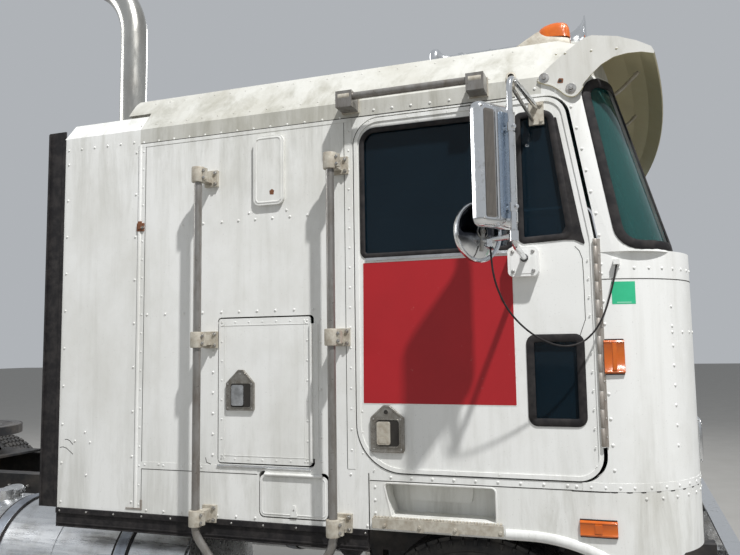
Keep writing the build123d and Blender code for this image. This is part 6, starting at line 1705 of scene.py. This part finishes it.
def front_end():
    """Grille mesh, front rivets, bumper bolts, tow hooks and wipers."""
    mesh = Kit("grille_mesh", "cab", "steel", "steel", 40)
    for i in range(53):
        y = -500 + i * 19.2
        mesh.box((3089, 3092), (y - 1.5, y + 1.5), (1226, 1684))
    for i in range(24):
        z = 1232 + i * 19.2
        mesh.box((3087, 3090), (-505, 505), (z - 1.5, z + 1.5))
    mesh.use("chrome")
    rim = panel(-540, 540, 1190, 1720, 8)
    mesh.strip([(3124, u, v) for u, v in grown(rim, -10)], FORE, even((-10, 0), (-8, 4), (0, 6)))
    for y in (-518, 518):
        for z in (1215, 1455, 1695):
            mesh.nut((3125, y, z), FORE, 6, 5)
    mesh.done()
    rivets = Kit("front_panel_rivets", "cab", "white_side", "white_paint", 50)
    rivets.row((FRONT, -815, 1975), (FRONT, -20, 1975), 57, FORE, *LOW_RIVET)
    for z in range(1250, 1900, 68):
        rivets.dome((FRONT, -585, z), FORE, *LOW_RIVET)
    rivets.mirrored().done()
    bumper = Kit("bumper_details", "chassis", "steel", "steel", 40)
    for y in (-1100, -700, -380, 380, 700, 1100):
        for z in (520, 770):
            bumper.lathe([(14, 0), (13, 3), (8, 6), (0, 7)],
                         (BUMPER_X - (6 if abs(y) > 1095 else 0), y, z), FORE, 16)
    bumper.use("chassis")
    for y in (-430, 430):
        hook = [(x, y + w, z) for x, w, z in TOW_HOOK]
        bumper.tube(hook, 11, 12)
    bumper.done()
    wipers = Kit("wipers", "cab", "rubber", "rubber", 40)
    for y0, y1 in ((-620, -180), (180, 620)):
        middle = (y0 + y1) / 2
        wipers.use("chassis").lathe([(20, 0), (20, 10), (12, 18), (0, 20)], (3062, y0, 2040),
                                    (0.25, 0, 1), 20)
        wipers.tube([(3062, y0, 2056), (glass_x(2110) + 22, y0 + 120, 2110),
                     (glass_x(2190) + 24, middle, 2190)], 5, 8)
        wipers.use("rubber")
        wipers.strip(line((glass_x(2140) + 8, middle - 190, 2140), (glass_x(2240) + 8, middle + 190, 2240),
                          60), PANE_OUT, ridge(7, 3, 14), False)
    wipers.done()


def engine_shape():
    """In-line diesel in the space of the plain block, from its sump to its fan."""
    kit = Kit("engine_dress", "chassis", "engine", "engine_paint", 40, bevel=4.0)
    kit.sheet([(-150, 520), (150, 520), (175, 560), (205, 745), (-205, 745), (-175, 560)],
              place_front, 1500, 2590)
    kit.sheet([(-215, 740), (215, 740), (235, 800), (235, 960), (205, 1010), (205, 1240), (-205, 1240),
               (-205, 1010), (-235, 960), (-235, 800)], place_front, 1400, 2620)
    for x in range(1450, 2600, 90):
        for s in (-1, 1):
            kit.box((x, x + 14), tuple(sorted((s * 200, s * 232))), (1010, 1225))
    for k in range(6):
        a = 1420 + 199 * k
        kit.box((a, a + 189), (-196, 196), (1240, 1392))
        kit.use("gunmetal").sheet(panel(a + 8, a + 181, -128, 128, 26, 5), place_top, 1392, 1500)
        kit.use("engine").sheet(panel(a + 26, a + 163, -104, 104, 30, 5), place_top, 1500, 1524)
        kit.use("steel")
        for u in (a + 22, a + 167):
            for v in (-114, 114):
                kit.nut((u, v, 1500), UP, 9, 9)
        for u in (a + 12, a + 177):
            for v in (-170, 170):
                kit.nut((u, v, 1392), UP, 11, 12)
        kit.use("rust").tube([(a + 95, -190, 1316), (a + 95, -230, 1316),
                              (a + (101 if a < 2000 else 89), -262, 1322)], 27, 12)
        kit.use("engine").tube([(a + 95, 190, 1316), (a + 95, 225, 1322), (a + 95, 252, 1330)], 30, 12)
        kit.use("steel").tube([(a + 95, 118, 1440), (a + 95, 160, 1450), (a + 70, 215, 1400),
                               (a + 60, 262, 1180)], 5, 8)
    kit.use("rust").tube([(1470, -266, 1322), (1600, -270, 1326), (2100, -272, 1328), (2560, -266, 1322)],
                         38, 14)
    kit.use("engine").tube([(1460, 262, 1338), (1700, 266, 1342), (2200, 266, 1342), (2590, 258, 1338)],
                           44, 14)
    turbo = Vector((1790, -215, 1440))
    kit.use("rust").tube([(1800, -266, 1340), (1800, -250, 1380), turbo + Vector((20, 0, -20))], 36, 14)
    kit.lathe([(0, 0), (60, 0), (86, 14), (92, 40), (86, 62), (60, 70), (44, 74)],
              turbo + Vector((30, 0, 0)), AFT, 32)
    kit.use("aluminium").lathe([(44, 0), (50, 10), (84, 26), (92, 52), (86, 78), (60, 92), (44, 96),
                                (44, 120), (38, 120), (38, 60), (0, 60)],
                               turbo + Vector((40, 0, 0)), FORE, 32)
    kit.use("rust").tube([turbo + Vector((-40, 0, 0)), (1660, -232, 1430), (1500, -250, 1350),
                          (1400, -258, 1188), (1372, -250, 1058), (1350, -250, 1038)], 50, 16)
    kit.use("strap_blue")
    for x in (1640, 1790):
        kit.lathe([(0, -6), (40, -6), (48, 0), (48, 236), (40, 250), (16, 254), (16, 270)],
                  (x, 264, 790), UP, 28)
    kit.use("engine")
    kit.box((1600, 1840), (200, 318), (1044, 1096))
    kit.box((2080, 2420), (205, 300), (980, 1110))
    kit.lathe([(0, 0), (58, 0), (62, 8), (62, 120), (50, 150), (0, 152)], (2080, 256, 1046), AFT, 28)
    kit.use("gunmetal").lathe([(0, 0), (70, 0), (76, 6), (76, 130), (60, 146), (26, 150), (26, 166),
                               (0, 166)], (2440, -240, 1060), FORE, 32)
    kit.use("aluminium").lathe([(0, 0), (68, 0), (72, 6), (72, 150), (60, 162), (0, 164)],
                               (2330, -244, 1180), FORE, 32)
    kit.use("steel").rod((1560, -160, 640), (1560, -318, 640), 14, 12)
    kit.tube([(1500, 60, 1520), (1620, 62, 1560), (1800, 62, 1566), (2400, 62, 1560), (2560, 50, 1500)],
             9, 10)
    kit.use("rubber").tube([(2585, 0, 1400), (2640, 0, 1470), (2672, 0, 1520), (2698, 0, 1530)], 38, 16)
    kit.tube([(2610, -150, 700), (2650, -160, 720), (2698, -165, 730)], 34, 14)
    # flywheel housing, front cover, pulleys, belt and fan
    kit.use("engine").lathe([(180, 0), (292, 4), (300, 14), (300, 44), (270, 70), (235, 96)],
                            (1350, 0, 830), FORE, 48)
    kit.use("steel")
    for c, s in around(16):
        kit.nut((1364, 284 * c, 830 + 284 * s), AFT, 9, 10)
    kit.use("engine").box((2610, 2634), (-200, 200), (760, 1230))
    kit.use("gunmetal")
    for y, z, r in ((0, 830, 120), (0, 1120, 78), (-170, 1085, 48), (178, 990, 60)):
        kit.lathe([(0, 0), (r, 0), (r, 6), (r - 12, 14), (r, 22), (r, 28), (24, 28), (24, 34), (0, 34)],
                  (2632, y, z), FORE, 36)
    kit.use("rubber").strip([(2646, 108, 800), (2646, 66, 1155), (2646, 0, 1200), (2646, -66, 1155),
                             (2646, -108, 800), (2646, -60, 720), (2646, 60, 720)], FORE,
                            ridge(4, 4, 8, -8))
    kit.use("sign_white")
    for c, s in around(8):
        a, b = Vector((0, c, s)), Vector((0, -s, c))
        hub = Vector((2676, 0, 1120))
        rows = []
        for r, half, lean in ((70, 34, 16), (150, 46, 13), (230, 56, 10), (296, 60, 7)):
            rows += [hub + a * r + b * half + Vector((lean, 0, 0)),
                     hub + a * r - b * half - Vector((lean, 0, 0))]
        for k in range(3):
            q = rows[2 * k:2 * k + 4]
            kit.add(q + [v + Vector((3, 0, 0)) for v in q],
                    [(0, 1, 3, 2), (4, 6, 7, 5), (0, 2, 6, 4), (1, 5, 7, 3), (0, 4, 5, 1), (2, 3, 7, 6)])
    kit.use("gunmetal").lathe([(0, -12), (76, -12), (80, -8), (80, 4), (60, 10), (0, 12)],
                              (2676, 0, 1120), FORE, 32)
    kit.use("chassis")
    for x in (1440, 2500):
        for s in (-1, 1):
            kit.box((x, x + 90), tuple(sorted((s * 226, s * 345))), (850, 880))
            kit.box((x + 6, x + 14), tuple(sorted((s * 226, s * 330))), (800, 852))
            kit.box((x + 76, x + 84), tuple(sorted((s * 226, s * 330))), (800, 852))
            kit.nut((x + 45, s * 300, 880), UP, 13, 14)
    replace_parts(kit.done(), "engine_block")


def axle_details():
    """Housing cover bolts, and brake chambers with their pipes."""
    kit = Kit("axle_details", "chassis", "steel", "steel", 45)
    for x in DRIVE_X.values():
        for c, s in around(12):
            kit.nut((x - 172, 150 * c, WHEEL_Z + 150 * s), AFT, 9, 8)
        for y in (-520, 520):
            kit.use("chassis").lathe([(0, 0), (62, 0), (80, 10), (84, 22), (84, 34), (78, 44), (78, 92),
                                      (60, 108), (0, 110)], (x + 118, y, 560), (1, 0, 0.2), 32)
            kit.use("steel").tube([(x + 190, y, 610), (x + 210, y * 0.95, 680), (x + 180, y * 0.86, 730)],
                                  7, 8)
            kit.use("steel")
            for c, s in around(6):
                kit.nut((x + 146, y + 76 * c, 565 + 76 * s), (1, 0, 0.2), 6, 6)
    kit.done()


def rear_end():
    """Frame bolts, coupling grease, tail lamps, flap ribs, deck tread and axle parts."""
    kit = Kit("frame_bolts", "chassis", "steel", "steel", 50)
    rows = [((-3150, 740), (-3150, 930), 60), ((-2900, 760), (-2600, 760), 60),
            ((-1950, 760), (-1550, 760), 60), ((-1950, 900), (-1550, 900), 60),
            ((-2900, 900), (-2600, 900), 60), ((-700, 760), (-560, 760), 60),
            ((-700, 900), (-560, 900), 60), ((360, 740), (500, 740), 60), ((360, 920), (500, 920), 60),
            ((1380, 740), (1500, 740), 60), ((1380, 920), (1500, 920), 60), ((2100, 760), (2480, 760), 76),
            ((2100, 920), (2480, 920), 76), ((-2500, 940), (-1000, 940), 120)]
    for (x0, z0), (x1, z1), step in rows:
        for p in line((x0, -432, z0), (x1, -432, z1), step):
            kit.nut(p, RIGHT, 9, 8)
    kit.mirrored().done()
    fifth = Kit("fifth_wheel_top", "fifth_wheel", "grease", "frame_paint", 40)
    fifth.strip([(COUPLING_X + 430 * cos(t), 430 * sin(t), COUPLING_Z)
                 for t in [radians(-128 + 256 * i / 60) for i in range(61)]], UP,
                ridge(26, 24, 1.2), False)
    fifth.use("steel")
    for t in range(0, 360, 36):
        if abs(t - 180) > 50:
            fifth.lathe([(9, 0), (9, 1.5), (5, 2.2), (0, 2.4)],
                        (COUPLING_X + 330 * cos(radians(t)), 330 * sin(radians(t)), COUPLING_Z), UP, 12)
    fifth.done()
    lights = Kit("tail_lamp_fronts", "chassis", "red_lens", "red_lens", 40)
    for y in (-540, -440, 440, 540):
        lights.use("chrome").lathe([(42, 0), (46, 2), (47, -8), (42, -10)], (TAIL_X, y, 830), AFT, 36)
        lights.use("red_lens").lathe([(42, 0), (38, 3.5), (20, 6), (0, 6.5)], (TAIL_X, y, 830), AFT, 36)
        for r in (14, 26):
            lights.lathe([(r - 2, 5.2), (r, 7), (r + 2, 5)], (TAIL_X, y, 830), AFT, 30)
    lights.done()
    flaps = Kit("mud_flap_details", "chassis", "rubber", "rubber", 40, bevel=1.0)
    for y in (-1100, -1000, -900, -800, -700):
        flaps.box((-3063, -3060), (y - 6, y + 6), (360, 860))
    flaps.box((-3064, -3060), (-1195, -605), (332, 344))
    flaps.use("steel").box((-3066, -3060), (-1190, -610), (882, 912))
    for y in range(-1160, -620, 90):
        flaps.nut((-3066, y, 897), AFT, 8, 6)
    flaps.mirrored().done()
    deck = Kit("deck_tread", "chassis", "aluminium", "aluminium", 40)
    for i in range(14):
        for j in range(30):
            x, y = 76 + 29 * i, -420 + 29 * j
            turn = Matrix.Rotation(radians(45 if (i + j) % 2 else -45), 3, "Z")
            deck.box((x - 9, x + 9), (y - 2.2, y + 2.2), (980, 981.8), turn, (x, y, 980))
    deck.done()
    axle_details()


def make_all():
    for make in (mirror_cord, cab_rivets, side_seams, red_sign, small_marks, vent_covers, flap_trim,
                 bar_clamps, skirt_trim, step_trim, seals, lamp_set, horn_piece, visor_trim, roof_trim,
                 stack_trim, tank_trim, interior, wheels, front_end, engine_shape, rear_end):
        make()
    for side in ("right", "left"):
        door_trim(side)
        luggage_trim(side)
        mirror_set(side)


aim_camera()
make_paints()
make_metals()
make_softs()
make_clears()
dress_cad()
make_stage()
make_all()
